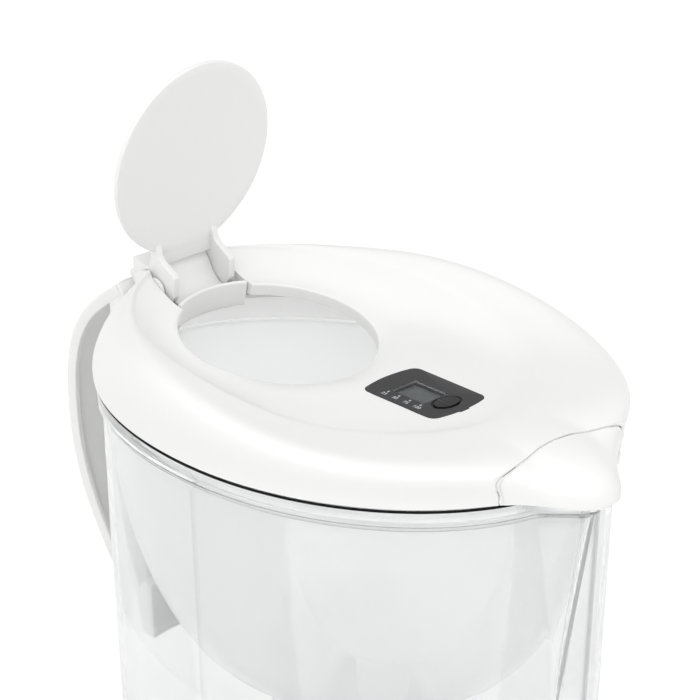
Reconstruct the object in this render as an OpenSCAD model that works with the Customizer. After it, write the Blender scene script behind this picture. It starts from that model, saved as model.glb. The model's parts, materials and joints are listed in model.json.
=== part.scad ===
// Water filter pitcher: a clear jug with a clip-on handle, a lift-out hopper with its filter
// cartridge, and a white lid with a flip-up fill cap, a swinging spout cover and a filter timer.
// +X points to the spout, +Z up. The jug stands on z = 0.

/* [Jug] */
// Height of the jug from the table to its rim
jug_h = 240; // [200:1:270]
// Half the width of the jug and lid at the rim
half_w = 80; // [74:0.5:88]
// From the middle of the plan to the back of the rim
rear_reach = 111; // [106:0.5:120]
// From the middle of the plan to the front of the oval, without the beak
front_reach = 98; // [92:0.5:104]
// Wall thickness of the jug
jug_wall = 2.2; // [1.8:0.1:3]
// Thickness of the jug's floor
jug_floor = 3.2; // [2.5:0.1:5]
// Share by which the plan is smaller at the table than at the rim
taper = 0.1; // [0.06:0.01:0.16]
// Rounding where the wall meets the floor
foot_round = 11; // [6:0.5:16]
// Height of the collar round the rim
collar_h = 8.6; // [6:0.1:12]
// How far the collar stands proud of the wall
collar_step = 1.6; // [1:0.1:2.4]
// Radius of the jug's pouring nose
nose_r = 5.8; // [4:0.1:7]
// Degrees by which the nose leans back from the vertical
nose_lean = 10.8; // [6:0.1:16]

/* [Lid] */
// Thickness of the lid's skin
lid_skin = 2.2; // [1.8:0.1:3]
// Degrees by which the fill opening leans down to the spout
deck_tilt = 9.2; // [4:0.1:12]
// Radius of the fill opening
fill_r = 36; // [32:0.5:37]
// Height of the fill opening's centre over the rim
deck_h = 13.4; // [12:0.1:17]
// Half the width of the lid's dish
dish_half_w = 60; // [56:0.5:64]
// From the dish's middle to its front
dish_front = 85; // [80:0.5:88]
// From the dish's middle to its back
dish_rear = 77; // [73:0.5:80]
// Height of the dish's crest beside the fill opening, over the opening's centre
crest_h = 10.3; // [8:0.1:12]
// Height of the dish's crest near the spout, over the opening's centre
crest_low = 1.1; // [0:0.1:3]
// How much the crest rises further behind the fill opening
hump_h = 3.7; // [2:0.1:5]
// Radius of the blunt tip of the beak
tip_r = 13.9; // [11:0.1:16]
// How far the beak's lower edge droops
droop = 2.9; // [2:0.1:4]
// How far the lid's side swells out over its lower edge
swell = 3.6; // [1:0.1:4]
// Depth of the skirt that locates the lid inside the collar
skirt_h = 5.6; // [4:0.1:7]
// Thickness of that skirt
skirt_wall = 2; // [1.5:0.1:3]

/* [Fill cap] */
// Radius of the round flip cap
cap_r = 37; // [36.6:0.1:37.6]
// Thickness of the flip cap
cap_t = 2; // [1.6:0.1:2.6]
// Height of the cap's dome
cap_dome = 3.4; // [2:0.1:5]
// Degrees from closed to open
cap_open = 90.8; // [80:0.1:100]
// Thickness of a hinge arm
arm_t = 2.8; // [2.2:0.1:3.4]
// From the middle plane to the inner face of a hinge arm
arm_in = 12.4; // [11:0.1:14]
// Radius of the hinge stubs
stub_r = 2; // [1.6:0.1:2.4]

/* [Spout cover] */
// How far the seam lies behind the front of the oval, at the middle plane
seam_back = 9.8; // [6:0.1:12]
// Width of the seam gap
seam_gap = 0.5; // [0.4:0.05:0.8]
// Radius of the cover's trunnions
trunnion_r = 1.5; // [1.2:0.1:2]

/* [Handle] */
// Width of the handle
handle_w = 26; // [22:0.5:32]
// Thickness of the handle's outer web
handle_web = 3; // [2.4:0.1:4]
// Depth of the handle's side flanges
handle_depth = 5.5; // [5:0.5:12]
// Thickness of a side flange
flange_t = 2.2; // [1.8:0.1:3]
// How far the web stands out past each flange
handle_lip = 0.3; // [0.2:0.1:2]

/* [Hopper and filter] */
// Wall thickness of the hopper
hopper_wall = 1.8; // [1.5:0.1:2.4]
// Depth of the hopper below its flange
hopper_depth = 96; // [80:1:110]
// Radius of the filter cartridge
filter_r = 25; // [22:0.5:28]
// Length of the filter cartridge's body
filter_h = 78; // [60:1:90]
// Wall thickness of the filter cartridge
filter_wall = 1.5; // [1.2:0.1:2]
// Vent slots round the cartridge's cap
vent_count = 12; // [8:1:18]

/* [Filter timer] */
// Length of the timer's plate, towards the spout
timer_l = 37; // [34:0.5:40]
// Width of the timer's plate
timer_w = 27; // [24:0.5:30]
// Thickness of the timer's plate
timer_t = 2; // [1.6:0.1:2.6]
// Length of the display window
lcd_l = 15.6; // [14:0.1:17]
// Width of the display window
lcd_w = 12.2; // [10:0.1:14]
// Half the length of the oval button, across the lid
button_a = 5.4; // [4.6:0.1:6]
// Half the width of the oval button
button_b = 3.4; // [3:0.1:3.8]
// Travel of the button
button_travel = 0.6; // [0.4:0.1:1]
// Radius of the coin cell
cell_r = 8; // [6:0.5:9.5]
// Thickness of the coin cell
cell_t = 2.5; // [2:0.1:3.2]

/* [Hidden] */

// ---- Frame: the plan's middle, the fill opening's centre and the seam ----
plan_x = 15.75;
opening_back = 68;
open_x = plan_x - rear_reach + opening_back;
seam_x = front_reach - seam_back;
rim_z = jug_h;
deck_z = rim_z + deck_h;
eps = 0.02;
fit = 0.1;
gap = 0.4;

// ---- Plan of the rim, as a radius about its middle ----
function reversed(v) = [for (i = [len(v) - 1:-1:0]) v[i]];
ring_n = 84;
crowd = 0.75;
function spread(i) = let(s = 360 * i / ring_n) s - crowd * 180 / PI * sin(s);
THETA = [for (i = [0:ring_n - 1]) spread(i)];
function fold(t) = abs(t > 180 ? t - 360 : t);
function oval(t, a_front, a_rear, b) =
    let(a = abs(t) < 90 ? a_front : a_rear)
    a * b / sqrt(pow(b * cos(t), 2) + pow(a * sin(t), 2));

// Beak of the lid: a blunt tip and two straight flanks that run into the oval
tip_c = front_reach + 1.9;
flank_dir = 47;
function wedge_r(t, c, r) =
    let(turn = atan2(r * sin(flank_dir), c + r * cos(flank_dir)))
    t < turn
        ? c * cos(t) + sqrt(max(0, pow(r, 2) - pow(c * sin(t), 2)))
        : t > flank_dir ? 0 : (c * cos(flank_dir) + r) / cos(t - flank_dir);
function lid_r(theta, grow) =
    let(t = fold(theta))
    max(oval(t, front_reach + grow, rear_reach + grow, half_w + grow), wedge_r(t, tip_c, tip_r + grow));

// Nose of the jug: it stands inside the beak and leans back into the oval wall
nose_tip = front_reach + 12;
function shrink(z) = 1 - taper * (rim_z - z) / jug_h;
function body_r(theta, z, grow) =
    let(k = shrink(z))
    oval(fold(theta), front_reach * k + grow, rear_reach * k + grow, half_w * k + grow);
function jug_r(theta, z, grow) =
    max(
        body_r(theta, z, grow),
        wedge_r(fold(theta), nose_tip - nose_r - (rim_z - z) * tan(nose_lean), nose_r + grow)
    );

// ---- Lofts ----
function ring_at(radii, z, cx = 0) =
    [for (i = [0:ring_n - 1]) [plan_x + cx + radii[i] * cos(THETA[i]), radii[i] * sin(THETA[i]), z]];
function jug_ring(z, grow, inset = 0) = ring_at([for (t = THETA) jug_r(t, z, grow) - inset], z);
function body_ring(z, grow) = ring_at([for (t = THETA) body_r(t, z, grow)], z);

// A closed solid through a list of rings, capped at both ends
module loft(rings) {
    n = len(rings[0]);
    m = len(rings);
    sides = [for (k = [0:m - 2], i = [0:n - 1], h = [0:1])
        let(a = k * n + i, b = k * n + (i + 1) % n)
        h == 0 ? [a, a + n, b + n] : [a, b + n, b]];
    first = [for (i = [0:n - 1]) i];
    last = [for (i = [0:n - 1]) (m - 1) * n + n - 1 - i];
    polyhedron(points = [for (r = rings) each r], faces = concat(sides, [first, last]));
}

// A side outline in X and Z, carried across the part from y
module across(y, width) {
    translate([0, y + width, 0]) rotate([90, 0, 0]) linear_extrude(width) children();
}

// A closed solid whose rings run round a hole and back to the first
module loop_loft(rings) {
    n = len(rings[0]);
    m = len(rings);
    polyhedron(
        points = [for (r = rings) each r],
        faces = [for (k = [0:m - 1], i = [0:n - 1], h = [0:1])
            let(a = k * n + i, b = k * n + (i + 1) % n,
                c = ((k + 1) % m) * n + (i + 1) % n, d = ((k + 1) % m) * n + i)
            h == 0 ? [a, d, c] : [a, c, b]]);
}

// ---- Jug ----
lid_inset = 0.6;
wall_out = -lid_inset - collar_step;
wall_in = wall_out - jug_wall;
collar_out = -lid_inset;
collar_in = collar_out - jug_wall;
collar_z = rim_z - collar_h;
ledge_z = collar_z + 0.6;
jug_top = rim_z - 0.6;
foot_steps = [0, 25, 50, 75];
wall_levels = [0.22, 0.4, 0.56, 0.7, 0.84];

ledge_step = 0.8;
function foot_rings(z, grow, radius) =
    [for (a = foot_steps) jug_ring(z + radius * (1 - cos(a)), grow, radius * (1 - sin(a)))];
function outer_rings(grow) = concat(
    foot_rings(0, wall_out + grow, foot_round),
    [jug_ring(foot_round, wall_out + grow)],
    [for (s = wall_levels) jug_ring(s * collar_z, wall_out + grow)],
    [jug_ring(collar_z - ledge_step, wall_out + grow), jug_ring(collar_z + ledge_step, collar_out + grow),
     jug_ring(jug_top, collar_out + grow)]
);

module jug() {
    color([0.86, 0.88, 0.9, 0.35])
    loft(concat(
        outer_rings(0),
        [jug_ring(jug_top, collar_in), jug_ring(ledge_z, collar_in), jug_ring(ledge_z - fit, wall_in)],
        [for (s = reversed(wall_levels)) jug_ring(s * collar_z, wall_in)],
        reversed(foot_rings(jug_floor, wall_in, foot_round - jug_wall))
    ));
}

// ---- Handle: a strap that curves from behind the lid down to the jug's back ----
function bezier(p, t) =
    pow(1 - t, 3) * p[0] + 3 * pow(1 - t, 2) * t * p[1] + 3 * (1 - t) * t * t * p[2] + pow(t, 3) * p[3];
// Control points, from the fill opening's centre
strap_top = [[-73, 2.5], [-85.6, -6.6], [-102.3, -15.7], [-102.3, -46]];
heel_drop = 139;
strap_low = [[-102.3, -46], [-102.3, -80.8], [-92.5, -96.8], [-62, -heel_drop]];
strap_steps = 10;
strap = concat(
    [for (i = [0:strap_steps]) bezier(strap_top, i / strap_steps)],
    [for (i = [1:strap_steps]) bezier(strap_low, i / strap_steps)]
);
function strap_normal(i) =
    let(a = strap[max(0, i - 1)], b = strap[min(len(strap) - 1, i + 1)], d = b - a)
    [-d[1], d[0]] / norm(d);
function strap_side(inset) = [for (i = [0:len(strap) - 1]) strap[i] + inset * strap_normal(i)];
root_h = 40;
heel_z = deck_z - heel_drop;
heel_h = 22;

module strap_band(from, to, width) {
    translate([open_x, width / 2, deck_z])
        rotate([90, 0, 0])
            linear_extrude(width)
                polygon(concat(strap_side(from), reversed(strap_side(to))));
}

module handle() {
    inner_w = handle_w - 2 * handle_lip;
    back = plan_x - rear_reach;
    color([0.94, 0.94, 0.94])
    difference() {
        union() {
            strap_band(0, handle_web, handle_w);
            for (side = [-1, 1])
                translate([0, side * (inner_w - flange_t) / 2, 0])
                    strap_band(handle_web - eps, handle_depth, flange_t);
            // Root that sits against the jug's back, and the short riser behind the lid
            across(-inner_w / 2, inner_w)
                polygon([
                    [back + 12, rim_z - 1], [back - 9, rim_z - 1], [back - 8, rim_z - root_h * 0.4],
                    [back - 3, rim_z - root_h * 0.9], [back, rim_z - root_h], [back + 12, rim_z - root_h]
                ]);
            translate([back - 5.8, -inner_w / 2, rim_z - root_h / 2])
                cube([5.2, inner_w, root_h / 2 + deck_h - 0.6]);
            // Heel that stands on the jug's back at the strap's lower end
            across(-inner_w / 2, inner_w)
                polygon([
                    [back + 16, heel_z + heel_h], [back + 2, heel_z + heel_h], [back - 3, heel_z + 12],
                    [back + 1, heel_z], [back + 16, heel_z]
                ]);
        }
        jug_outside(fit);
        // The lid's wall drops in front of the riser
        lid_outside(fit);
    }
}

module jug_outside(grow) { loft(outer_rings(grow)); }
module lid_outside(grow) { loft([rim_ring(grow, -1), rim_ring(grow, 40)]); }

// ---- Hopper: hangs on the collar's ledge and funnels down to the filter's socket ----
flange_z = ledge_z + fit;
flange_h = 2;
hopper_x = -8;
hopper_top = flange_z;
hopper_low = hopper_top - hopper_depth;
socket_r = filter_r + 1.2;
socket_h = 26;
bowl_steps = [0, 14, 30, 46, 62, 76];
// The bowl's inside starts a little within the socket's bore, which then cuts it clean
neck = 0.4;
function bowl_ring(a, grow, sink) =
    let(u = pow(cos(a), 0.75), z = hopper_top - (hopper_depth - sink) * pow(sin(a), 1.25))
    [for (t = THETA)
        let(
            r = body_r(t, hopper_top, wall_in - gap + grow),
            s = socket_r + hopper_wall + grow - (sink > 0 ? neck : 0)
        )
        [plan_x + u * r * cos(t) + (1 - u) * (hopper_x + s * cos(t)),
         u * r * sin(t) + (1 - u) * s * sin(t), z]];
function socket_ring(grow, z) =
    [for (t = THETA)
        [plan_x + hopper_x + (socket_r + hopper_wall + grow) * cos(t),
         (socket_r + hopper_wall + grow) * sin(t), z]];

module hopper() {
    color([0.9, 0.9, 0.9, 0.8])
    difference() {
        union() {
            loft(concat(
                [socket_ring(0, hopper_low)],
                [for (i = [len(bowl_steps) - 1:-1:0]) bowl_ring(bowl_steps[i], 0, 0)],
                [body_ring(flange_z, collar_in - gap), body_ring(flange_z + flange_h, collar_in - gap),
                 body_ring(flange_z + flange_h, wall_in - gap - hopper_wall)],
                [for (a = bowl_steps) bowl_ring(a, -hopper_wall, hopper_wall)],
                [socket_ring(-hopper_wall - neck, hopper_low + hopper_wall)]
            ));
            translate([plan_x + hopper_x, 0, hopper_low - socket_h])
                cylinder(h = socket_h + hopper_wall, r = socket_r + hopper_wall - neck, $fn = 96);
        }
        translate([plan_x + hopper_x, 0, hopper_low - socket_h - 1])
            cylinder(h = socket_h + hopper_depth, r = socket_r, $fn = 96);
    }
    color([0.9, 0.9, 0.9, 0.8])
    translate([plan_x + hopper_x, 0, hopper_low - socket_h])
        difference() {
            cylinder(h = 1.8, r = socket_r + 0.1, $fn = 96);
            translate([0, 0, -1]) cylinder(h = 4, r = filter_r - 3, $fn = 96);
        }
}

// ---- Filter cartridge: stands in the hopper's socket ----
filter_x = plan_x + hopper_x;
seat_z = hopper_low - socket_h + 1.8;
filter_low = seat_z - filter_h + socket_h + 12;
cap_h = 11;
shoulder = 3;
case_top = filter_low + filter_h;
ring_t = 1.4;
mesh_t = 0.6;

module tube(h, r, wall) {
    difference() {
        cylinder(h = h, r = r, $fn = 96);
        translate([0, 0, -1]) cylinder(h = h + 2, r = r - wall, $fn = 96);
    }
}

module hopper_seal() {
    color([0.8, 0.82, 0.84])
    translate([filter_x, 0, seat_z + fit])
        tube(ring_t, socket_r - fit, socket_r - filter_r + 1.6);
}

module filter_case() {
    low_r = filter_r - shoulder;
    color([0.95, 0.95, 0.96])
    translate([filter_x, 0, filter_low])
        difference() {
            rotate_extrude($fn = 96)
                polygon([
                    [0, 0], [low_r - 2, 0], [low_r, 2], [low_r, seat_z - filter_low + ring_t + 0.2],
                    [filter_r, seat_z - filter_low + ring_t + 0.2], [filter_r, filter_h], [0, filter_h]
                ]);
            translate([0, 0, filter_wall])
                cylinder(h = filter_h, r = low_r - filter_wall, $fn = 96);
            for (i = [0:7])
                rotate([0, 0, 45 * i]) translate([low_r / 2, -1.2, -1]) cube([low_r / 2 - 3, 2.4, 6]);
        }
}

module filter_cap() {
    color([0.95, 0.95, 0.96])
    translate([filter_x, 0, case_top + fit])
        difference() {
            union() {
                rotate_extrude($fn = 96)
                    polygon([
                        [0, 0], [filter_r, 0], [filter_r, cap_h - 5], [filter_r - 4, cap_h], [0, cap_h]
                    ]);
                translate([-1.5, -filter_r + 5, cap_h - eps]) cube([3, 2 * filter_r - 10, 8]);
            }
            translate([0, 0, -1]) cylinder(h = cap_h - 1, r = filter_r - 5, $fn = 96);
            for (i = [0:vent_count - 1])
                rotate([0, 0, (i + 0.5) * 360 / vent_count])
                    translate([filter_r / 2, -1, cap_h - 4]) cube([filter_r / 2 - 6, 2, 8]);
        }
}

module filter_top_mesh() {
    color([0.75, 0.77, 0.8])
    translate([filter_x, 0, case_top - mesh_t])
        cylinder(h = mesh_t, r = filter_r - shoulder - filter_wall - fit, $fn = 96);
}

module filter_bottom_mesh() {
    color([0.75, 0.77, 0.8])
    translate([filter_x, 0, filter_low + filter_wall])
        cylinder(h = mesh_t, r = filter_r - shoulder - filter_wall - fit, $fn = 96);
}

// Free height over the granules
media_drop = 6;
module filter_media() {
    low = filter_low + filter_wall + mesh_t;
    color([0.25, 0.25, 0.26])
    translate([filter_x, 0, low])
        cylinder(h = case_top - media_drop - low, r = filter_r - shoulder - filter_wall - fit, $fn = 96);
}

// Sealing ring: how far its foot lies below the case's top, its height and its thickness
bead_drop = 9;
bead_h = 6;
bead_t = 0.85;
module filter_ring() {
    color([0.3, 0.45, 0.6])
    translate([filter_x, 0, case_top - bead_drop])
        tube(bead_h, filter_r + bead_t + 0.05, bead_t);
}

// ---- Lid ----
lid_mid = 30;
deck_mid = 12;
dish_c = 25;
hump_from = -15;
tongue_root = 2.5;
shelf_z = 0.6;
tongue_out = collar_in - gap;
tongue_in = tongue_out - skirt_wall;

// Radius to an off-centre ellipse whose centre lies dx behind the pole
function offset_oval(t, dx, a, b) =
    let(
        A = pow(cos(t) / a, 2) + pow(sin(t) / b, 2),
        B = dx * cos(t) / pow(a, 2),
        C = pow(dx / a, 2) - 1
    )
    (-B + sqrt(B * B - A * C)) / A;
function crest(x) =
    (crest_h + crest_low) / 2
    + (crest_h - crest_low) / 2 * cos(min(180, max(0, 2 * (x + 5))))
    + hump_h * pow(max(0, hump_from - x) / (dish_rear - dish_c + hump_from), 1.5);
function crease_pt(t, drop) =
    let(
        front = offset_oval(t, lid_mid - dish_c, dish_front, dish_half_w),
        rear = offset_oval(t, lid_mid - dish_c, dish_rear, dish_half_w),
        r = lid_mid + front * cos(t) > dish_c ? front : rear,
        x = lid_mid + r * cos(t)
    )
    [x, r * sin(t), crest(x) - drop];
function deck_pt(t, grow, drop) =
    let(r = offset_oval(t, deck_mid, fill_r + grow, fill_r + grow), x = deck_mid + r * cos(t))
    [x * cos(deck_tilt) - drop * sin(deck_tilt), r * sin(t), -x * sin(deck_tilt) - drop * cos(deck_tilt)];
function smooth(u) = let(k = min(1, max(0, u))) k * k * (3 - 2 * k);
droop_from = front_reach - 11;
droop_to = tip_c + tip_r;
function rim_pt(t, grow, z) =
    let(r = lid_r(t, grow), x = r * cos(t))
    [plan_x - open_x + x, r * sin(t), z - droop * smooth((x - droop_from) / (droop_to - droop_from))];
function lid_place(p) = p + [open_x, 0, deck_z];

// Dish: nearly level by the opening and steep by the crease along the sides, even at the back, and
// level under the timer at the front
dish_power = 1.3;
dish_side_power = 1.2;
dish_s = [0.86, 0.7, 0.55, 0.4, 0.25, 0.12];
dish_front_rise = [0.6, 0.53, 0.58, 0.63, 0.67, 0.42];
function frontness(t) = let(c = max(0, cos(t))) c * c * (3 - 2 * c);
function dish_ring(k, drop) = [for (t = THETA)
    let(
        a = deck_pt(t, 0, 0), b = crease_pt(t, 0), s = dish_s[k], w = frontness(t),
        rise = w * dish_front_rise[k] + (1 - w) * pow(s, dish_power + dish_side_power * abs(sin(t)))
    )
    lid_place([a[0] + (b[0] - a[0]) * s, a[1] + (b[1] - a[1]) * s, a[2] + (b[2] - a[2]) * rise - drop])];
// Rounded band from the crease out to the lower edge: full at the sides, softer at the back,
// and nearly elliptical along the beak
fullness = [3.35, 2.3, -0.36];
beak_fullness = 2.3;
crown = [4, -2.8, -0.3];
swell_front = 1.6;
beak_swell = 0.9;
beak_from = front_reach - 19;
beak_blend = 26;
function by_angle(v, t) = v[0] + v[1] * cos(t) + v[2] * cos(2 * t);
function beakness(t) = smooth((lid_r(t, 0) * cos(t) - beak_from) / beak_blend);
function mix(a, b, w) = a + (b - a) * w;
band_s = [0.94, 0.86, 0.75, 0.6, 0.44, 0.28, 0.13, 0.04, 0.008, 0];
function band_ring(s, grow, drop) = [for (t = THETA)
    let(
        a = crease_pt(t, drop), b = rim_pt(t, grow, -deck_h), w = beakness(t),
        power = 2 / mix(by_angle(fullness, t), beak_fullness, w),
        across = pow(sin(90 * s), power),
        down = pow(cos(90 * s), power),
        out = mix(swell + swell_front * cos(t), beak_swell, w) * sin(180 * s) * s,
        lift = mix(by_angle(crown, t), 0, w) * sin(180 * s)
    )
    lid_place([
        a[0] + (b[0] - a[0]) * across + out * cos(t), a[1] + (b[1] - a[1]) * across + out * sin(t),
        b[2] + (a[2] - b[2]) * down + lift
    ])];
function rim_ring(grow, z) = [for (t = THETA) lid_place(rim_pt(t, grow, z - deck_h))];
function deck_ring(grow, drop) = [for (t = THETA) lid_place(deck_pt(t, grow, drop))];
throat_h = 4.5;

module lid_body() {
    loop_loft(concat(
        [rim_ring(0, 0)],
        [for (v = band_s) band_ring(v, 0, 0)],
        [for (k = [0:5]) dish_ring(k, 0)],
        [deck_ring(1.2, -0.3), deck_ring(0, 0.5), deck_ring(0, throat_h), deck_ring(lid_skin, throat_h)],
        [for (k = [5, 3, 1]) dish_ring(k, lid_skin)],
        [for (v = [0, 0.04, 0.28, 0.6, 0.86]) band_ring(v, -lid_skin, lid_skin)],
        [rim_ring(-lid_skin, 0)]
    ));
}

// Everything deeper than t below the lid's outside, up to the crest
module lid_cavity(t) {
    loft(concat([rim_ring(-t, -20)], [for (v = band_s) band_ring(v, -t, t)], [dish_ring(0, t)]));
}

// Locating skirt that drops inside the jug's collar
module lid_tongue() {
    loop_loft([
        body_ring(rim_z + tongue_root, tongue_in), body_ring(rim_z - skirt_h, tongue_in),
        body_ring(rim_z - skirt_h, tongue_out), body_ring(rim_z + shelf_z, tongue_out),
        body_ring(rim_z + shelf_z, -lid_skin / 2), body_ring(rim_z + tongue_root, -lid_skin / 2)
    ]);
}

// Everything in front of the seam that curves across the beak
seam_bow = [[0, 0], [8, 0.4], [16, 1.6], [22, 2.7], [26, 3.1], [30, 2.9], [33, 2.4], [50, 2.4]];
module seam_region(shift) {
    right = [for (p = seam_bow) [seam_x + shift + p[1], p[0]]];
    left = [for (i = [len(seam_bow) - 1:-1:1]) [seam_x + shift + seam_bow[i][1], -seam_bow[i][0]]];
    ends = [[140, 50], [140, -50]];
    translate([plan_x, 0, rim_z - 20]) linear_extrude(50) polygon(concat(right, ends, left));
}
// The lid thins to a lip at the seam, and the cover's edge is stepped down by the same depth
lip_t = 0.45;
lip_l = 4.6;
step_l = 0.8;

// Spout cover's trunnion axis, from the fill opening's centre
axis_x = seam_x + plan_x - open_x + 4.2;
axis_z = -8.2;
hub_r = 2.6;
trunnion_in = 13.6;
lug_t = 3;

// ---- Flip cap hinge ----
pivot_x = -47;
pivot_z = 7.9;
slot_wall = 16.9;
cheek_t = 1.2;
apron_r = 37.2;
apron_t = 1.6;
apron_h = 10.1;
apron_top = 0.6;
apron_half = 26;
slot_floor = -2.4;
arm_out = arm_in + arm_t;
tray_back = -57;
tray_floor = -4;
cap_lift = 3;

module at_deck() { translate([open_x, 0, deck_z]) children(); }

module timer_place() {
    translate([open_x + timer_x, 0, deck_z + timer_z]) rotate([0, timer_tilt, 0]) children();
}
timer_x = 71.7;
timer_z = -1.5;
timer_tilt = 1.8;
bulge = 1.9;
corner_r = 3.4;

module round_rect(l, w, r) {
    square([l, w - 2 * r], center = true);
    square([l - 2 * r, w], center = true);
    for (x = [-1, 1], y = [-1, 1])
        translate([x * (l / 2 - r), y * (w / 2 - r)]) circle(r = r, $fn = 32);
}
function arc(x, y, r, from, to, n) = [for (i = [0:n])
    let(a = from + (to - from) * i / n) [x + r * cos(a), y + r * sin(a)]];
// Straight sides, bowed ends and round corners
module timer_outline(grow) {
    half = timer_w / 2;
    end_r = (half * half + bulge * bulge) / (2 * bulge);
    end_c = timer_l / 2 - end_r;
    inner = half - corner_r;
    turn = asin(inner / (end_r - corner_r));
    corner_x = end_c + (end_r - corner_r) * cos(turn);
    right = concat(
        arc(corner_x, -inner, corner_r + grow, -90, -turn, 6),
        arc(end_c, 0, end_r + grow, -turn + 2, turn - 2, 8),
        arc(corner_x, inner, corner_r + grow, turn, 90, 6)
    );
    polygon(concat(right, [for (p = right) -p]));
}
// Tab at the front end, to lift the timer out by
tab_out = 0.6;
module timer_tab(grow) {
    translate([timer_l / 2 - tab_out, 0]) round_rect(2.4 + 2 * grow, 5 + 2 * grow, 0.8 + grow);
}
box_inset = 2.6;
box_l = timer_l - 2 * box_inset - 1.5;
box_w = timer_w - 2 * box_inset;

module lid_shell() {
    color([0.95, 0.95, 0.95])
    difference() {
        union() {
            difference() {
                union() {
                    lid_body();
                    lid_tongue();
                }
                seam_region(-seam_gap / 2);
                // Room for the cover's edge to swing
                intersection() {
                    lid_cavity(lip_t);
                    seam_region(-lip_l);
                }
            }
            // Pad under the timer
            timer_place() translate([0, 0, -timer_t - 2.4])
                linear_extrude(2.4) round_rect(timer_l + 5, timer_w + 5, corner_r);
            // Hooks that carry the spout cover
            for (side = [-1, 1])
                at_deck() across(side * trunnion_in + (side < 0 ? -lug_t : 0), lug_t)
                    translate([axis_x, axis_z]) {
                        polygon([[-18, 7], [-12, 6.4], [-8.8, 0.6], [-8.2, -3.2], [-4.8, -4.4], [-1.6, -1.2],
                            [0.6, -2.1], [-3, -6.4], [-10, -6], [-13, -2]]);
                        circle(r = hub_r, $fn = 48);
                    }
            // Thumb rest, which reaches over the handle's riser
            at_deck() across(-7, 14)
                translate([-opening_back, 0])
                    polygon([
                        [9.5, 3], [8, 10.4], [4.5, 10.8], [2, 11.4], [-0.6, 12.6], [-1.6, 11.8],
                        [-1.2, 8], [-3.4, 6.2], [-3.2, 5], [-1.5, 3.5], [0, 0.4], [0.4, -8.5],
                        [2.4, -8.5]
                    ]);
        }
        at_deck() across(-slot_wall - fit, 2 * (slot_wall + fit))
            polygon([
                [tray_back - fit, tray_floor - 3], [-20, tray_floor - 3], [-20, 30], [tray_back - fit, 30]
            ]);
        timer_place() translate([0, 0, -timer_t - fit]) linear_extrude(12) {
            timer_outline(fit);
            timer_tab(fit);
        }
        timer_place() translate([0, 0, -12]) linear_extrude(12)
            round_rect(box_l + 2 * fit, box_w + 2 * fit, 2 + fit);
        at_deck() translate([axis_x, 30, axis_z]) rotate([90, 0, 0])
            cylinder(h = 60, r = trunnion_r + 0.06, $fn = 48);
    }
}

module hinge_block() {
    color([0.93, 0.93, 0.93])
    at_deck() {
        difference() {
            union() {
                // Tray that fills the notch in the lid, with a ramp that sheds water into the opening
                across(-slot_wall, 2 * slot_wall)
                    polygon([
                        [tray_back, tray_floor], [-apron_r, tray_floor], [-apron_r, 3.6], [-40, 3.4],
                        [-43.6, 5],
                        [-46.4, 8], [-48.4, 11.6], [-50.2, 14.4], [-53.4, 13.8], [tray_back, 12]
                    ]);
                for (side = [-1, 1])
                    across(side * (slot_wall - cheek_t / 2) - cheek_t / 2, cheek_t)
                        translate([pivot_x, pivot_z]) circle(r = 4.6, $fn = 48);
                // Apron that hangs behind the opening
                rotate([0, deck_tilt, 0]) translate([0, 0, apron_top - apron_h])
                    rotate([0, 0, 180 - apron_half]) rotate_extrude(angle = 2 * apron_half, $fn = 128)
                        translate([apron_r, 0]) square([apron_t, apron_h]);
            }
            rotate([0, deck_tilt, 0]) translate([0, 0, -20]) cylinder(h = 40, r = apron_r, $fn = 128);
            // Slots for the arms
            for (side = [-1, 1])
                across(side < 0 ? cheek_t - slot_wall : arm_in - gap, slot_wall - cheek_t - arm_in + gap)
                    polygon([
                        [tray_back + 1, slot_floor], [-38.8, slot_floor], [-36, 4.6], [-36, 5.1],
                        [-34.6, 6.5], [-34.6, 30], [tray_back + 1, 30]
                    ]);
        }
        for (side = [-1, 1])
            translate([pivot_x, side > 0 ? slot_wall - cheek_t / 2 : -arm_in, pivot_z])
                rotate([90, 0, 0]) cylinder(h = slot_wall - cheek_t / 2 - arm_in, r = stub_r, $fn = 48);
    }
}

// ---- Flip cap ----
cap_steps = 12;
module cap_disc() {
    rim_band = 2.4;
    inner = cap_r - rim_band;
    rotate_extrude($fn = 144)
        polygon(concat(
            [for (i = [0:cap_steps])
                let(r = inner * i / cap_steps) [r, cap_dome * (1 - pow(r / inner, 2)) + 0.01]],
            [[cap_r - 0.4, 0], [cap_r, 0.4], [cap_r, cap_t - 0.5], [cap_r - 0.5, cap_t]],
            [for (i = [cap_steps:-1:0])
                let(r = inner * i / cap_steps) [r, cap_t + cap_dome * (1 - pow(r / inner, 2))]]
        ));
}

module flip_cap() {
    color([0.96, 0.96, 0.96])
    at_deck() {
        translate([pivot_x, 0, pivot_z]) rotate([0, -cap_open, 0]) translate([-pivot_x, 0, -pivot_z])
            rotate([0, deck_tilt, 0]) translate([0, 0, cap_lift]) cap_disc();
        // Neck between the arms
        translate([pivot_x - 3.1, fit - arm_out, pivot_z + 7.6]) cube([2.1, 2 * (arm_out - fit), 11]);
        for (side = [-1, 1])
            difference() {
                across(side < 0 ? -arm_out : arm_in, arm_t)
                    translate([pivot_x, pivot_z])
                        polygon([
                            [-4.6, -2.2], [-3, -4.2], [0.9, -5], [6.9, -3.6], [8.6, -1], [8.8, 6],
                            [8, 7.2], [2.4, 10.6],
                            [0.6, 12.4], [-0.6, 17.5], [-3.2, 17.5], [-3.2, 12], [-4.6, 6], [-5.2, 2]
                        ]);
                across(-20, 40) translate([pivot_x, pivot_z]) {
                    circle(r = stub_r + 0.06, $fn = 48);
                    translate([-8, -1.5]) square([8, 3]);
                }
            }
    }
}

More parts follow.
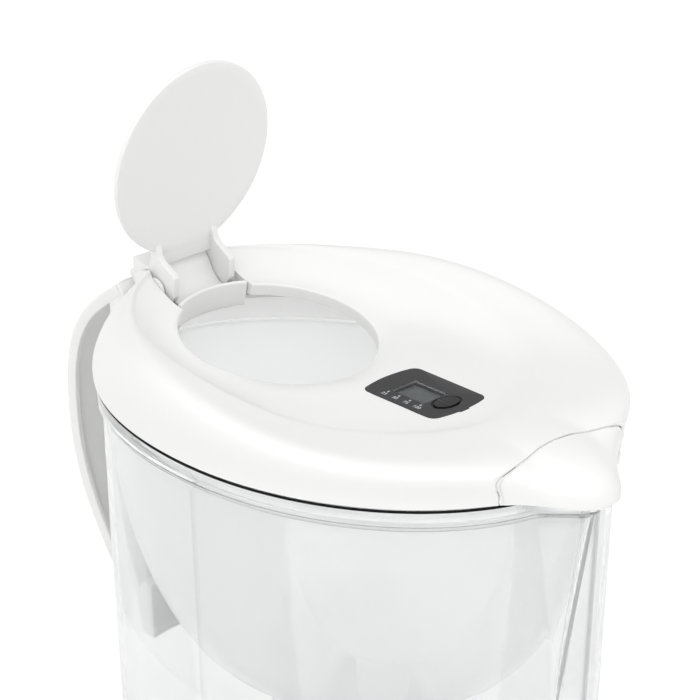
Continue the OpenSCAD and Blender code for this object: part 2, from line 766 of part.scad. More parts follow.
// ---- Spout cover ----
module spout_cover() {
    color([0.95, 0.95, 0.95])
    union() {
        intersection() {
            lid_body();
            union() {
                seam_region(seam_gap / 2 + step_l);
                intersection() {
                    seam_region(seam_gap / 2);
                    lid_cavity(lip_t);
                }
            }
        }
        for (side = [-1, 1])
            at_deck() across(side < 0 ? -trunnion_in + 0.4 : trunnion_in - 4.4, 4)
                translate([axis_x, axis_z]) {
                    polygon([[-2.2, 0], [0, -2], [2.3, 0], [5.5, 3.9], [3, 4.9], [-1.5, 5.4]]);
                    circle(r = hub_r - 0.2, $fn = 48);
                }
        for (side = [-1, 1])
            at_deck() translate([axis_x, side < 0 ? -trunnion_in + 1 : trunnion_in + lug_t, axis_z])
                rotate([90, 0, 0]) cylinder(h = lug_t + 1, r = trunnion_r, $fn = 48);
    }
}

// ---- Filter timer ----
lcd_x = -1.7;
lcd_y = -0.6;
button_x = 10.5;
// How far the button's flange reaches past its ends, to hold it under the plate
button_flange = 0.8;
lens_t = 0.9;
board_t = 1;
board_z = -5.6;
back_floor = -11;
box_wall = 1.1;
// Bottom of the button below the plate's top, and the dome that it presses
button_root = timer_t + 0.9;
dome_h = -button_root - button_travel - fit - board_z - board_t - eps;

module oval(a, b) {
    polygon([for (i = [0:47]) [b * cos(7.5 * i), a * sin(7.5 * i)]]);
}

module timer_plate() {
    color([0.2, 0.2, 0.21])
    timer_place() difference() {
        union() {
            translate([0, 0, -timer_t]) linear_extrude(timer_t) timer_outline(0);
            translate([0, 0, -timer_t]) linear_extrude(timer_t) timer_tab(0);
            // Frame round the board, open where the button's flange lies
            translate([0, 0, board_z]) linear_extrude(-board_z - timer_t + eps)
                difference() {
                    round_rect(box_l - 2 * box_wall - 0.2, box_w - 2 * box_wall - 0.2, 1.2);
                    round_rect(box_l - 2 * box_wall - 2.2, box_w - 2 * box_wall - 2.2, 0.6);
                    translate([button_x, 0]) oval(button_a + button_flange + 0.4, button_b + 0.5);
                }
        }
        translate([lcd_x, lcd_y, -timer_t - 1]) linear_extrude(timer_t + 2)
            square([lcd_l - 1.6, lcd_w - 1.6], center = true);
        translate([lcd_x, lcd_y, -lens_t - 0.15]) linear_extrude(2) round_rect(lcd_l, lcd_w, 0.8);
        translate([button_x, 0, -timer_t - 1]) linear_extrude(timer_t + 2)
            oval(button_a + 0.25, button_b + 0.25);
        translate([button_x, 0, -0.5]) linear_extrude(2) oval(button_a + 1.1, button_b + 0.8);
    }
}

module timer_window() {
    color([0.5, 0.53, 0.53, 0.5])
    timer_place() translate([lcd_x, lcd_y, -lens_t - 0.1])
        linear_extrude(lens_t) round_rect(lcd_l - 0.2, lcd_w - 0.2, 0.7);
}

module timer_display() {
    color([0.42, 0.44, 0.42])
    timer_place() translate([lcd_x, lcd_y, board_z + board_t + fit])
        linear_extrude(-timer_t - fit - board_z - board_t - fit) round_rect(lcd_l, lcd_w, 0.4);
}

module start_button() {
    color([0.1, 0.1, 0.1])
    timer_place() translate([button_x, 0, 0]) {
        translate([0, 0, -button_root]) linear_extrude(button_root + 0.3) oval(button_a, button_b);
        translate([0, 0, -button_root]) linear_extrude(0.8) oval(button_a + button_flange, button_b);
    }
}

module snap_dome() {
    color([0.75, 0.75, 0.76])
    timer_place() translate([button_x, 0, board_z + board_t + eps]) {
        cylinder(h = 0.3, r = 3, $fn = 48);
        translate([0, 0, 0.28]) cylinder(h = dome_h - 0.28, r1 = 2.6, r2 = 1, $fn = 48);
    }
}

module circuit_board() {
    color([0.1, 0.35, 0.2])
    timer_place() translate([0, 0, board_z])
        linear_extrude(board_t) round_rect(box_l - 2 * box_wall - 2.6, box_w - 2 * box_wall - 2.6, 0.8);
}

cell_x = -4;
module coin_cell() {
    color([0.78, 0.78, 0.78])
    timer_place() translate([cell_x, 0, back_floor + box_wall + fit]) {
        cylinder(h = cell_t - 0.6, r = cell_r, $fn = 64);
        translate([0, 0, cell_t - 0.62]) cylinder(h = 0.6, r = cell_r - 1.4, $fn = 64);
    }
}

module cell_clip() {
    top = board_z - fit;
    low = back_floor + box_wall + fit + cell_t;
    color([0.8, 0.75, 0.55])
    timer_place() {
        translate([cell_x - 3, -2, low + fit]) cube([cell_r + 4, 4, 0.4]);
        translate([cell_x + cell_r + 0.6, -2, low + fit]) cube([0.4, 4, top - low - fit]);
    }
}

module timer_back() {
    color([0.3, 0.3, 0.31])
    timer_place() difference() {
        translate([0, 0, back_floor]) linear_extrude(-timer_t - fit - back_floor - 0.05)
            round_rect(box_l, box_w, 2);
        translate([0, 0, back_floor + box_wall])
            linear_extrude(20) round_rect(box_l - 2 * box_wall, box_w - 2 * box_wall, 1.4);
    }
}

jug();
handle();
hopper();
hopper_seal();
filter_case();
filter_cap();
filter_top_mesh();
filter_media();
filter_bottom_mesh();
filter_ring();
lid_shell();
hinge_block();
flip_cap();
spout_cover();
timer_plate();
timer_window();
timer_display();
start_button();
snap_dome();
circuit_board();
coin_cell();
cell_clip();
timer_back();
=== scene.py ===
# %% [markdown]
# # A water filter jug with a flip lid
# The construction comes first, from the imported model: every hinge, seat and clearance is already in
# it. This script keeps that frame still and puts the finished surfaces round it: smooth moulded
# shells in place of the faceted ones, clear and white plastics, a floor and soft light.

# %% Load the frame
import json
import math

import bmesh
import bpy
import numpy as np
from mathutils import Matrix, Vector


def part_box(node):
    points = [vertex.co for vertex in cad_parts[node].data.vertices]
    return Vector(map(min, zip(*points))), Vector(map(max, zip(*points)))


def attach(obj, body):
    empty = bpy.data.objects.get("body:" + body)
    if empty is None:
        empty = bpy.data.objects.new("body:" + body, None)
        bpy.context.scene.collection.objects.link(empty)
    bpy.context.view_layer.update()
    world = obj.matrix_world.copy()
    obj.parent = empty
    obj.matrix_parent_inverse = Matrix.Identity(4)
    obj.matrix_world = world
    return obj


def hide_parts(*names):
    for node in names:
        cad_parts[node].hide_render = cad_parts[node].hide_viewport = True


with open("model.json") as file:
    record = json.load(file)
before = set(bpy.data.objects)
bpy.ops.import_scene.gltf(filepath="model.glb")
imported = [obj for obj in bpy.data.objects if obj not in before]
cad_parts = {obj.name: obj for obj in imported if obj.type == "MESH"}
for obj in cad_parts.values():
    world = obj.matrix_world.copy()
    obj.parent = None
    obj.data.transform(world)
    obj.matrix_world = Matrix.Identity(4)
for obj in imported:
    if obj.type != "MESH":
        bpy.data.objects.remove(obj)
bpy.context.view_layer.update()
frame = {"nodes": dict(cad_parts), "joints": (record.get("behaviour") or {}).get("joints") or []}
MM = 0.001

# %% [markdown]
# Everything on this jug hangs on a few sizes: the oval plan of the rim, the beak at its front and the
# round fill opening. They are the same values that the solids were built from, in millimetres, and
# the places of the rest are worked out from them. The plan's middle comes from the frame.

# %% Driving dimensions, in millimetres
half_w = 80
rear_reach = 111
front_reach = 98
taper = 0.1
lid_inset = 0.6
collar_h = 8.6
collar_step = 1.6
jug_wall = 2.2
jug_floor = 3.2
foot_round = 11
lid_skin = 2.2
deck_h = 13.4
deck_tilt = math.radians(9.2)
fill_r = 36
open_back = 43
jug_low, jug_high = (np.array(corner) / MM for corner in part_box("jug"))
plan_x = jug_low[0] + rear_reach - lid_inset
rim_z = jug_high[2] + lid_inset
open_x = plan_x - open_back
deck_z = rim_z + deck_h
print("plan's middle at x", round(plan_x, 2), "and rim at z", round(rim_z, 2))

# %% [markdown]
# The camera stands where it sees the jug from its front right, a little above. A long lens keeps the
# jug's sides nearly parallel. Its level direction, sight, also places the light further down.

# %% Camera
azimuth = math.radians(44.5)
elevation = math.radians(22.8)
camera_distance = 1284.8
sensor = 36
focal_ratio = 3600 / 700
aim_right = 25.5
aim_down = 6.1

right = Vector((math.cos(azimuth), math.sin(azimuth), 0))
back = Vector((
    math.sin(azimuth) * math.cos(elevation),
    -math.cos(azimuth) * math.cos(elevation),
    math.sin(elevation),
))
up = back.cross(right)
sight = Vector((back.x, back.y, 0)).normalized()
eye = Vector((open_x, 0, deck_z)) + aim_right * right - aim_down * up + camera_distance * back
camera_data = bpy.data.cameras.new("portrait")
camera_data.sensor_width = sensor
camera_data.lens = sensor * focal_ratio
camera = bpy.data.objects.new("portrait", camera_data)
camera.matrix_world = Matrix.Translation(eye * MM) @ Matrix((right, up, back)).transposed().to_4x4()
bpy.context.scene.collection.objects.link(camera)
bpy.context.scene.camera = camera
print("camera at", [round(v) for v in eye], "mm")

# %% [markdown]
# ## Plastics
# The jug has few materials and all are moulded plastics, so their differences lie in how they pass
# and spread light. Colours are given as sRGB hex values and turned to linear light once, here.

# %% Helpers for materials
def linear(hex_colour, alpha=1.0):
    """An sRGB hex colour such as "F4F4F2" as linear RGBA."""
    channels = [int(hex_colour[i:i + 2], 16) / 255 for i in (0, 2, 4)]
    return [c / 12.92 if c <= 0.04045 else ((c + 0.055) / 1.055) ** 2.4 for c in channels] + [alpha]


def add_node(tree, kind, links=None, **settings):
    """A new node with its settings, and its inputs set or linked by name."""
    node = tree.nodes.new(kind)
    for name, value in settings.items():
        setattr(node, name, value)
    for socket, value in (links or {}).items():
        if isinstance(value, bpy.types.NodeSocket):
            tree.links.new(value, node.inputs[socket])
        else:
            node.inputs[socket].default_value = value
    return node


def plastic(name, colour, roughness, ior=1.5, **sockets):
    """A material with one Principled shader and nothing else."""
    material = bpy.data.materials.new(name)
    material.use_nodes = True
    tree = material.node_tree
    tree.nodes.clear()
    shader = add_node(tree, "ShaderNodeBsdfPrincipled", {
        "Base Color": linear(colour), "Roughness": roughness, "IOR": ior, **sockets,
    })
    add_node(tree, "ShaderNodeOutputMaterial", {"Surface": shader.outputs[0]})
    return material


def shader_of(material):
    return material.node_tree.nodes["Principled BSDF"]


drift_mm = 40


def moulded(name, colour, roughness, ior, grain_mm, depth_mm, spread, **sockets):
    """A plastic with the fine bumps that its mould left, and a slow drift of gloss over it."""
    material = plastic(name, colour, roughness, ior, **sockets)
    tree, shader = material.node_tree, shader_of(material)
    place = add_node(tree, "ShaderNodeTexCoord")
    grain = add_node(tree, "ShaderNodeTexNoise", {
        "Vector": place.outputs["Object"], "Scale": 1 / (grain_mm * MM), "Detail": 2.0,
    })
    bump = add_node(tree, "ShaderNodeBump", {
        "Height": grain.outputs["Fac"], "Distance": depth_mm * MM, "Strength": 1.0,
    })
    tree.links.new(bump.outputs["Normal"], shader.inputs["Normal"])
    drift = add_node(tree, "ShaderNodeTexNoise", {
        "Vector": place.outputs["Object"], "Scale": 1 / (drift_mm * MM), "Detail": 3.0,
    })
    gloss = add_node(tree, "ShaderNodeMapRange", {
        "Value": drift.outputs["Fac"], "From Min": 0.2, "From Max": 0.8,
        "To Min": roughness - spread, "To Max": roughness + spread,
    }, interpolation_type="SMOOTHSTEP")
    tree.links.new(gloss.outputs["Result"], shader.inputs["Roughness"])
    return material

# %% [markdown]
# The lid, cap, cover and handle are injection-moulded polypropylene: a milky white with a soft
# gloss. Its skin shows the mould's polish as a shallow orange peel about a millimetre wide, too fine
# to see except in a highlight. A plain diffuse white serves: with light let into it, each rebate
# inside the thin shells would show outside as a dark band.

# %% White polypropylene, injection moulded
white_pp = moulded("polypropylene_white_moulded", "DEDEDD", 0.34, 1.49, 1.4, 0.004, 0.03)

# %% [markdown]
# Where the same plastic is a thin skirt with light on both sides, it glows a little. A faint
# emission is painted glow: it stands in for the light that comes through it, which a few bounces can't
# carry.

# %% White polypropylene, thin wall
thin_pp_painted_glow = moulded(
    "polypropylene_white_thin_wall_painted_glow", "EFEFEE", 0.3, 1.49, 1.4, 0.004, 0.03,
    **{"Emission Color": linear("FFFFFF"), "Emission Strength": 0.22})

# %% [markdown]
# The jug is clear styrene-acrylonitrile, polished in the mould. Its walls nearly vanish, while the
# step of its collar and its lip read as thin dark lines. The walls bend light as the plastic does,
# and a little alpha lets light straight through where it would need many bounces. A few narrow
# rings get a dark matt twin, painted shade that draws the two lines at any angle. The hopper inside
# is the same plastic with a milky filler: part see-through, with a faint emission as painted glow.

# %% Clear and milky styrene-acrylonitrile
clear_san = plastic(
    "styrene_acrylonitrile_clear", "FBFCFC", 0.02, 1.57, **{"Transmission Weight": 1.0, "Alpha": 0.85})
# Painted shade: a near-black matt twin of the clear plastic draws the dark lines of the step and the lip.
painted_shade_edge_san = plastic(
    "styrene_acrylonitrile_painted_dark_edge", "151617", 0.8, 1.57, **{"Specular IOR Level": 0.1})
# Painted light: the hopper's faint white emission stands in for light that comes through it.
hopper_milky_painted_glow = moulded(
    "styrene_milky_moulded_painted_glow", "FCFDFD", 0.22, 1.55, 1.2, 0.003, 0.04,
    **{"Alpha": 0.66, "Emission Color": linear("FFFFFF"), "Emission Strength": 0.14})

# %% [markdown]
# The timer is dark grey ABS from a spark-eroded mould: its skin is a fine, even grain that kills
# sharp reflections. The button is the same plastic a shade darker, the display is a grey liquid
# crystal cell behind a clear lens, and the scale beside it is printed in pale ink.

# %% Dark ABS and the display
dark_abs = moulded("abs_dark_grey_eroded", "29292B", 0.45, 1.52, 0.5, 0.02, 0.04)
button_abs = moulded("abs_black_eroded", "121213", 0.38, 1.52, 0.5, 0.015, 0.04)
back_abs = moulded("abs_grey_moulded", "4A4A4C", 0.5, 1.52, 0.6, 0.02, 0.04)
lens_acrylic = plastic("acrylic_clear_lens", "F4F6F6", 0.08, 1.49, **{"Transmission Weight": 1.0})
lcd_grey = plastic("liquid_crystal_cell_grey", "7A7D7D", 0.25, 1.52)
mark_ink = plastic("pad_print_ink_pale", "C9CBCB", 0.55)

# %% [markdown]
# What is left is hidden, or half seen through the clear wall: silicone seals, the matt white filter
# cartridge with its woven meshes and black granules, and the metal and fibreglass of the electronics.

# %% Inner materials
silicone = moulded("silicone_moulded", "D9DBDC", 0.55, 1.41, 0.8, 0.01, 0.03)
filter_pp = moulded("polypropylene_matt_white", "EDEEEE", 0.5, 1.49, 0.7, 0.01, 0.04)
board_green = plastic("fibreglass_green_mask", "1F5A35", 0.35, 1.55)
cell_steel = plastic("steel_nickel_plated", "C9C9C7", 0.25, **{"Metallic": 1.0})
clip_brass = plastic("brass_spring_strip", "C8A85A", 0.3, **{"Metallic": 1.0})


def woven_mesh():
    """Polyester mesh as two crossed waves 5 mm apart, because its own 0.8 mm would not show."""
    material = plastic("polyester_woven_mesh", "BFC1C2", 0.6)
    tree, shader = material.node_tree, shader_of(material)
    wave_scale = 62.5
    place = add_node(tree, "ShaderNodeTexCoord")
    heights = []
    for direction in ("X", "Y"):
        heights.append(add_node(tree, "ShaderNodeTexWave", {
            "Vector": place.outputs["Object"], "Scale": wave_scale,
        }, bands_direction=direction).outputs["Fac"])
    both = add_node(tree, "ShaderNodeMath", {0: heights[0], 1: heights[1]}, operation="MAXIMUM")
    bump = add_node(tree, "ShaderNodeBump", {"Height": both.outputs[0], "Distance": 0.2 * MM})
    tree.links.new(bump.outputs["Normal"], shader.inputs["Normal"])
    return material


def carbon_granules():
    """Black granules 1 mm across with pale resin beads between them."""
    material = plastic("activated_carbon_granules", "1A1A1A", 0.7)
    tree, shader = material.node_tree, shader_of(material)
    place = add_node(tree, "ShaderNodeTexCoord")
    cells = add_node(tree, "ShaderNodeTexVoronoi", {
        "Vector": place.outputs["Object"], "Scale": 1 / (1.0 * MM),
    })
    tone = add_node(tree, "ShaderNodeValToRGB", {"Fac": cells.outputs["Color"]})
    tone.color_ramp.elements[0].color = linear("101010")
    tone.color_ramp.elements[1].color = linear("57534A")
    bump = add_node(tree, "ShaderNodeBump", {
        "Height": cells.outputs["Distance"], "Distance": 0.5 * MM,
    })
    tree.links.new(tone.outputs["Color"], shader.inputs["Base Color"])
    tree.links.new(bump.outputs["Normal"], shader.inputs["Normal"])
    return material


mesh_polyester = woven_mesh()
carbon = carbon_granules()
print(len(bpy.data.materials), "materials with those of the frame")

# %% [markdown]
# ## Mesh helpers
# The big shells are lofts: rings of points that run from edge to edge, as a boat's ribs do. A smooth
# shell needs rings close together and its sharp corners marked, so one helper skins the rings, one
# cuts a shell with another solid, and one finishes the shading.

# %% Skin rings, cut and shade
def mesh_object(name, points, faces):
    """An object at the origin from points in millimetres."""
    mesh = bpy.data.meshes.new(name)
    mesh.from_pydata((np.array(points) * MM).tolist(), [], faces)
    mesh.update()
    piece = bpy.data.objects.new(name, mesh)
    bpy.context.scene.collection.objects.link(piece)
    return piece


def loft(name, rings, hollow=False):
    """A skin over equal rings: capped at both ends, or closed back to the first ring."""
    count, around = len(rings), len(rings[0])
    here, after = np.arange(around), np.roll(np.arange(around), -1)
    faces = []
    for k in range(count if hollow else count - 1):
        low, high = k * around, (k + 1) % count * around
        faces += np.stack([low + here, low + after, high + after, high + here], 1).tolist()
    if not hollow:
        faces += [here[::-1].tolist(), ((count - 1) * around + here).tolist()]
    piece = mesh_object(name, np.vstack(rings), faces)
    outward(piece)
    return piece


def prism(name, outline, low, high, axis="z"):
    """A straight-sided solid: an outline of (a, b) points carried from low to high along an axis."""
    order = {"z": (0, 1, 2), "y": (0, 2, 1)}[axis]
    rings = []
    for level in (low, high):
        ring = np.zeros((len(outline), 3))
        ring[:, order[0]], ring[:, order[1]] = np.array(outline).T
        ring[:, order[2]] = level
        rings.append(ring)
    return loft(name, rings)


def outward(piece):
    """Turns all faces to look out of the solid."""
    work = bmesh.new()
    work.from_mesh(piece.data)
    bmesh.ops.recalc_face_normals(work, faces=work.faces)
    work.to_mesh(piece.data)
    work.free()


def settle(piece):
    """Applies the piece's modifiers to its mesh."""
    shaped = bpy.data.meshes.new_from_object(
        piece.evaluated_get(bpy.context.evaluated_depsgraph_get()))
    piece.modifiers.clear()
    piece.data = shaped
    return piece


def combine(piece, tool, how="DIFFERENCE"):
    """Cuts, joins or intersects the piece with a tool solid, which is used up."""
    step = piece.modifiers.new("cut", "BOOLEAN")
    step.operation, step.solver, step.object = how, "MANIFOLD", tool
    settle(piece)
    bpy.data.objects.remove(tool)
    return piece


def shade(piece, corner=35):
    """Smooth shading, with edges sharper than the corner angle kept crisp."""
    piece.data.shade_smooth()
    piece.data.set_sharp_from_angle(angle=math.radians(corner))
    return piece


def round_edges(piece, radius_mm, corner=35, steps=2):
    """Breaks the piece's sharp edges with a small radius."""
    bevel = piece.modifiers.new("edge", "BEVEL")
    bevel.width, bevel.segments, bevel.limit_method = radius_mm * MM, steps, "ANGLE"
    bevel.angle_limit = math.radians(corner)
    return shade(settle(piece), corner)


def dress(piece, material, slot, body, *nodes):
    """Gives the piece its material and body, and hides the CAD nodes it stands in for; slot is not used."""
    piece.data.materials.clear()
    piece.data.materials.append(material)
    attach(piece, body)
    if nodes:
        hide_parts(*nodes)
    print(piece.name, len(piece.data.vertices), "points")
    return piece

# %% [markdown]
# ## The plan
# Seen from above the rim is an egg: two half ellipses that share their width. The lid ends in a
# blunt beak, two straight flanks tangent to a small circle, which leaves the egg in a soft hollow.
# Every ring below is this plan at another height and offset.

# %% Plan curves
AROUND = 360
CROWD = 0.75
turns = np.linspace(0, 2 * np.pi, AROUND, endpoint=False)
theta = turns - CROWD * np.sin(turns)
folded = np.abs(np.where(theta > np.pi, theta - 2 * np.pi, theta))
cos_t, sin_t = np.cos(theta), np.sin(theta)
tip_c, tip_r = 99.9, 13.9
flank, flank_end = math.radians(47), math.radians(35)
beak_fill, nose_fill = 5, 2
nose_r = 5.8
nose_lean = math.tan(math.radians(10.8))
nose_out = 12
nose_tip = front_reach + nose_out


def egg(front, rear, half):
    """Radius of the egg-shaped plan."""
    reach = np.where(folded < np.pi / 2, front, rear)
    return reach * half / np.hypot(half * cos_t, reach * sin_t)


def wedge(centre, radius):
    """Radius of a blunt wedge that points forward."""
    turn = math.atan2(radius * math.sin(flank), centre + radius * math.cos(flank))
    tip = centre * np.cos(folded) + np.sqrt(np.maximum(0, radius ** 2 - (centre * np.sin(folded)) ** 2))
    side = (centre * math.cos(flank) + radius) / np.cos(np.minimum(folded, flank) - flank)
    return np.where(folded < turn, tip, np.where(folded > flank_end, 0, side))


def soft_max(a, b, blend):
    """The larger of two radii, with the corner between them filled."""
    share = np.clip(0.5 + 0.5 * (a - b) / blend, 0, 1)
    return b + (a - b) * share + blend * share * (1 - share)


def lid_radius(grow):
    return soft_max(egg(front_reach + grow, rear_reach + grow, half_w + grow),
                    wedge(tip_c, tip_r + grow), beak_fill)


def body_radius(z, grow):
    size = 1 - taper * (rim_z - z) / rim_z
    return egg(front_reach * size + grow, rear_reach * size + grow, half_w * size + grow)


def jug_radius(z, grow):
    nose_c = nose_tip - nose_r - (rim_z - z) * nose_lean
    return soft_max(body_radius(z, grow), wedge(nose_c, nose_r + grow), nose_fill)


def ring(radius, z):
    """A ring of points about the plan's middle."""
    return np.stack([plan_x + radius * cos_t, radius * sin_t, np.broadcast_to(z, theta.shape)], 1)


print("plan", round(2 * half_w), "mm wide,", rear_reach + round(tip_c + tip_r), "mm long")

# %% [markdown]
# ## The jug
# A real wall has two skins, so light bends twice on its way through. The loft runs up the outside,
# over the rim and down the inside as one closed skin. The collar stands proud and the foot is round,
# and both get a ring every degree or so of their small arcs.

# %% Clear jug
wall_out = -lid_inset - collar_step
wall_in = wall_out - jug_wall
collar_out = -lid_inset
collar_in = collar_out - jug_wall
collar_z = rim_z - collar_h
jug_top = rim_z - lid_inset


def quarter(start, stop, steps=6):
    """Sines and cosines of an arc between two angles in degrees."""
    angles = np.radians(np.linspace(start, stop, steps))
    return list(zip(np.sin(angles), np.cos(angles)))


def jug_wall_rings(grow, foot_z, radius):
    rings = [ring(jug_radius(foot_z + radius * (1 - c), grow) - radius * (1 - s), foot_z + radius * (1 - c))
             for s, c in quarter(0, 90, 9)]
    levels = np.linspace(foot_z + radius + 3, collar_z - 2, 44)
    return rings + [ring(jug_radius(z, grow), z) for z in levels]


def step_rings(low, high, z, half):
    """A soft S from one offset to another round a height."""
    return [ring(jug_radius(z + half * u, 0) + low + (high - low) * (0.5 + 0.5 * math.sin(u * np.pi / 2)),
                 z + half * u) for u in np.linspace(-1, 1, 7)]


def lip_rings(grow, lean, start, stop):
    """The round corner of the rim, on its outside or its inside."""
    lip = 0.7
    levels = [(jug_top - lip * (1 - s), lip * (1 - c)) for s, c in quarter(start, stop)]
    return [ring(jug_radius(z, grow) + lean * inset, z) for z, inset in levels]


def jug_rings():
    outside = jug_wall_rings(wall_out, 0, foot_round)
    outside += step_rings(wall_out, collar_out, collar_z, 0.8)
    outside += [ring(jug_radius(jug_top - 1.1, collar_out), jug_top - 1.1)]
    outside += lip_rings(collar_out, -1, 0, 90)
    inside = lip_rings(collar_in, 1, 90, 0)
    inside += step_rings(wall_in, collar_in, collar_z + 0.9, 0.4)[::-1]
    inside += jug_wall_rings(wall_in, jug_floor, foot_round - jug_wall)[::-1]
    return outside + inside


jug = dress(shade(loft("clear_jug", jug_rings()), 50), clear_san, "clear_styrene", "jug_body", "jug")
jug.data.materials.append(painted_shade_edge_san)
step_ring = len(jug_wall_rings(wall_out, 0, foot_round)) + 2
lip_ring = step_ring + 5
# The step ring and the lip's rings take the painted shade.
painted_dark_rings = (step_ring, *range(lip_ring, lip_ring + 4))
for face in jug.data.polygons:
    if min(face.vertices) // AROUND in painted_dark_rings:
        face.material_index = 1

# %% [markdown]
# ## The hopper
# The hopper is a funnel: its flange hangs on a ledge inside the collar, and its bowl runs down from
# the egg-shaped rim to the round socket of the cartridge. Each ring is a blend of the two shapes.

# %% Milky hopper
hopper_low_corner, hopper_high_corner = (np.array(corner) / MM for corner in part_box("hopper"))
hopper_wall, hopper_gap = 1.8, 0.4
flange_h, flange_round = 2, 0.4
bowl_depth = 96
flange_z = hopper_high_corner[2] - flange_h
socket_x = plan_x - 8
socket_r, socket_hole, socket_ledge = 26.2, 22, 1.8
socket_bottom = hopper_low_corner[2]


def bowl(angle, grow, sink):
    """A ring of the bowl: angle 0 at the flange, 90 degrees at the socket."""
    share = math.cos(angle) ** 0.75
    z = flange_z - (bowl_depth - sink) * math.sin(angle) ** 1.25
    rim = body_radius(flange_z, wall_in - hopper_gap + grow)
    neck = socket_r + hopper_wall + grow
    return np.stack([
        plan_x + share * rim * cos_t + (1 - share) * (socket_x - plan_x + neck * cos_t),
        share * rim * sin_t + (1 - share) * neck * sin_t,
        np.full(AROUND, z),
    ], 1)


def socket(radius, z):
    return np.stack([socket_x + radius * cos_t, radius * sin_t, np.full(AROUND, z)], 1)


def hopper_rings():
    angles = np.radians(np.concatenate([np.linspace(0, 70, 30), np.linspace(72, 79, 8)]))
    low_z = flange_z - bowl_depth
    rings = [socket(socket_r + hopper_wall, socket_bottom), socket(socket_r + hopper_wall, low_z)]
    rings += [bowl(a, 0, 0) for a in angles[::-1]]
    flange_out, top_z = collar_in - hopper_gap, flange_z + flange_h
    rings += [ring(body_radius(flange_z, grow), z) for grow, z in (
        (flange_out, flange_z), (flange_out, top_z - flange_round), (flange_out - flange_round, top_z),
        (wall_in - hopper_gap - hopper_wall, top_z))]
    rings += [bowl(a, -hopper_wall, hopper_wall) for a in angles]
    ledge_z = socket_bottom + socket_ledge
    return rings + [socket(socket_r, low_z + hopper_wall), socket(socket_r, ledge_z),
                    socket(socket_hole, ledge_z), socket(socket_hole, socket_bottom)]


hopper = shade(loft("milky_hopper", hopper_rings(), hollow=True), 40)
dress(hopper, hopper_milky_painted_glow, "hopper_frost", "hopper_body", "hopper")

# %% [markdown]
# ## The lid
# The lid is one skin: a rolled side, a crest, and a dish that runs down to the round opening. The side
# is a quarter of a superellipse whose fullness changes round the plan, so it is upright along the
# sides and low and pointed at the beak. The dish lies level at the front, where the timer sits.

# %% Lid curves
lid_mid, deck_mid, dish_c = 30, 12, 25
dish_half_w, dish_front, dish_rear = 60, 85, 77
crest_h, crest_low, hump_h, hump_from = 10.3, 1.1, 3.7, -15
droop, swell, swell_front, beak_swell = 2.9, 3.6, 1.6, 0.9
fullness, crown, beak_fullness = (3.35, 2.3, -0.36), (4, -2.8, -0.3), 2.3
throat_h = 4.5
cos_tilt, sin_tilt = math.cos(deck_tilt), math.sin(deck_tilt)


def offset_ellipse(shift, a, b):
    """Radius to an ellipse whose centre lies behind the pole."""
    p = (cos_t / a) ** 2 + (sin_t / b) ** 2
    q = shift * cos_t / a ** 2
    return (-q + np.sqrt(q * q - p * ((shift / a) ** 2 - 1))) / p


def smooth_step(u):
    k = np.clip(u, 0, 1)
    return k * k * (3 - 2 * k)


def crest(x):
    """Height of the dish's crest along the lid."""
    fall = np.cos(np.radians(np.clip(2 * (x + 5), 0, 180)))
    hump = hump_h * (np.maximum(0, hump_from - x) / (dish_rear - dish_c + hump_from)) ** 1.5
    return (crest_h + crest_low) / 2 + (crest_h - crest_low) / 2 * fall + hump


def crease(drop):
    front = offset_ellipse(lid_mid - dish_c, dish_front, dish_half_w)
    rear = offset_ellipse(lid_mid - dish_c, dish_rear, dish_half_w)
    r = np.where(lid_mid + front * cos_t > dish_c, front, rear)
    x = lid_mid + r * cos_t
    return np.stack([x, r * sin_t, crest(x) - drop], 1)


def opening(grow, drop):
    """A ring round the tilted fill opening."""
    r = offset_ellipse(deck_mid, fill_r + grow, fill_r + grow)
    x = deck_mid + r * cos_t
    return np.stack([x * cos_tilt - drop * sin_tilt, r * sin_t, -x * sin_tilt - drop * cos_tilt], 1)


def lower_edge(grow, z):
    r = lid_radius(grow)
    x = r * cos_t
    sag = droop * smooth_step((x - front_reach + 11) / (tip_c + tip_r - front_reach + 11))
    return np.stack([plan_x - open_x + x, r * sin_t, z - sag], 1)


def on_lid(points):
    return points + np.array([open_x, 0, deck_z])


def by_angle(terms):
    return terms[0] + terms[1] * cos_t + terms[2] * np.cos(2 * theta)


beakness = smooth_step((lid_radius(0) * cos_t - front_reach + 19) / 26)


def band(s, grow, drop):
    """A ring of the rolled side: s is 1 at the lower edge and 0 at the crest."""
    a, b = crease(drop), lower_edge(grow, -deck_h)
    power = 2 / (by_angle(fullness) * (1 - beakness) + beak_fullness * beakness)
    across = np.sin(np.pi / 2 * s) ** power
    down = np.maximum(0, np.cos(np.pi / 2 * s)) ** power
    bulge = ((swell + swell_front * cos_t) * (1 - beakness) + beak_swell * beakness)
    bulge = bulge * np.sin(np.pi * s) * s
    lift = by_angle(crown) * (1 - beakness) * np.sin(np.pi * s)
    return on_lid(np.stack([
        a[:, 0] + (b[:, 0] - a[:, 0]) * across + bulge * cos_t,
        a[:, 1] + (b[:, 1] - a[:, 1]) * across + bulge * sin_t,
        b[:, 2] + (a[:, 2] - b[:, 2]) * down + lift,
    ], 1))


def through(stations, values, s):
    """A smooth curve through a few stations, by cubic pieces."""
    slopes = np.gradient(values, stations)
    k = int(np.clip(np.searchsorted(stations, s) - 1, 0, len(stations) - 2))
    width = stations[k + 1] - stations[k]
    u = (s - stations[k]) / width
    return ((1 + 2 * u) * (1 - u) ** 2 * values[k] + u * (1 - u) ** 2 * width * slopes[k]
            + u * u * (3 - 2 * u) * values[k + 1] + u * u * (u - 1) * width * slopes[k + 1])


dish_stations = np.array([0, 0.12, 0.25, 0.4, 0.55, 0.7, 0.86, 1])
dish_rise = np.array([0, 0.42, 0.67, 0.63, 0.58, 0.53, 0.6, 1])
dish_power, dish_side_power = 1.3, 1.2
frontness = np.maximum(0, cos_t) ** 2 * (3 - 2 * np.maximum(0, cos_t))


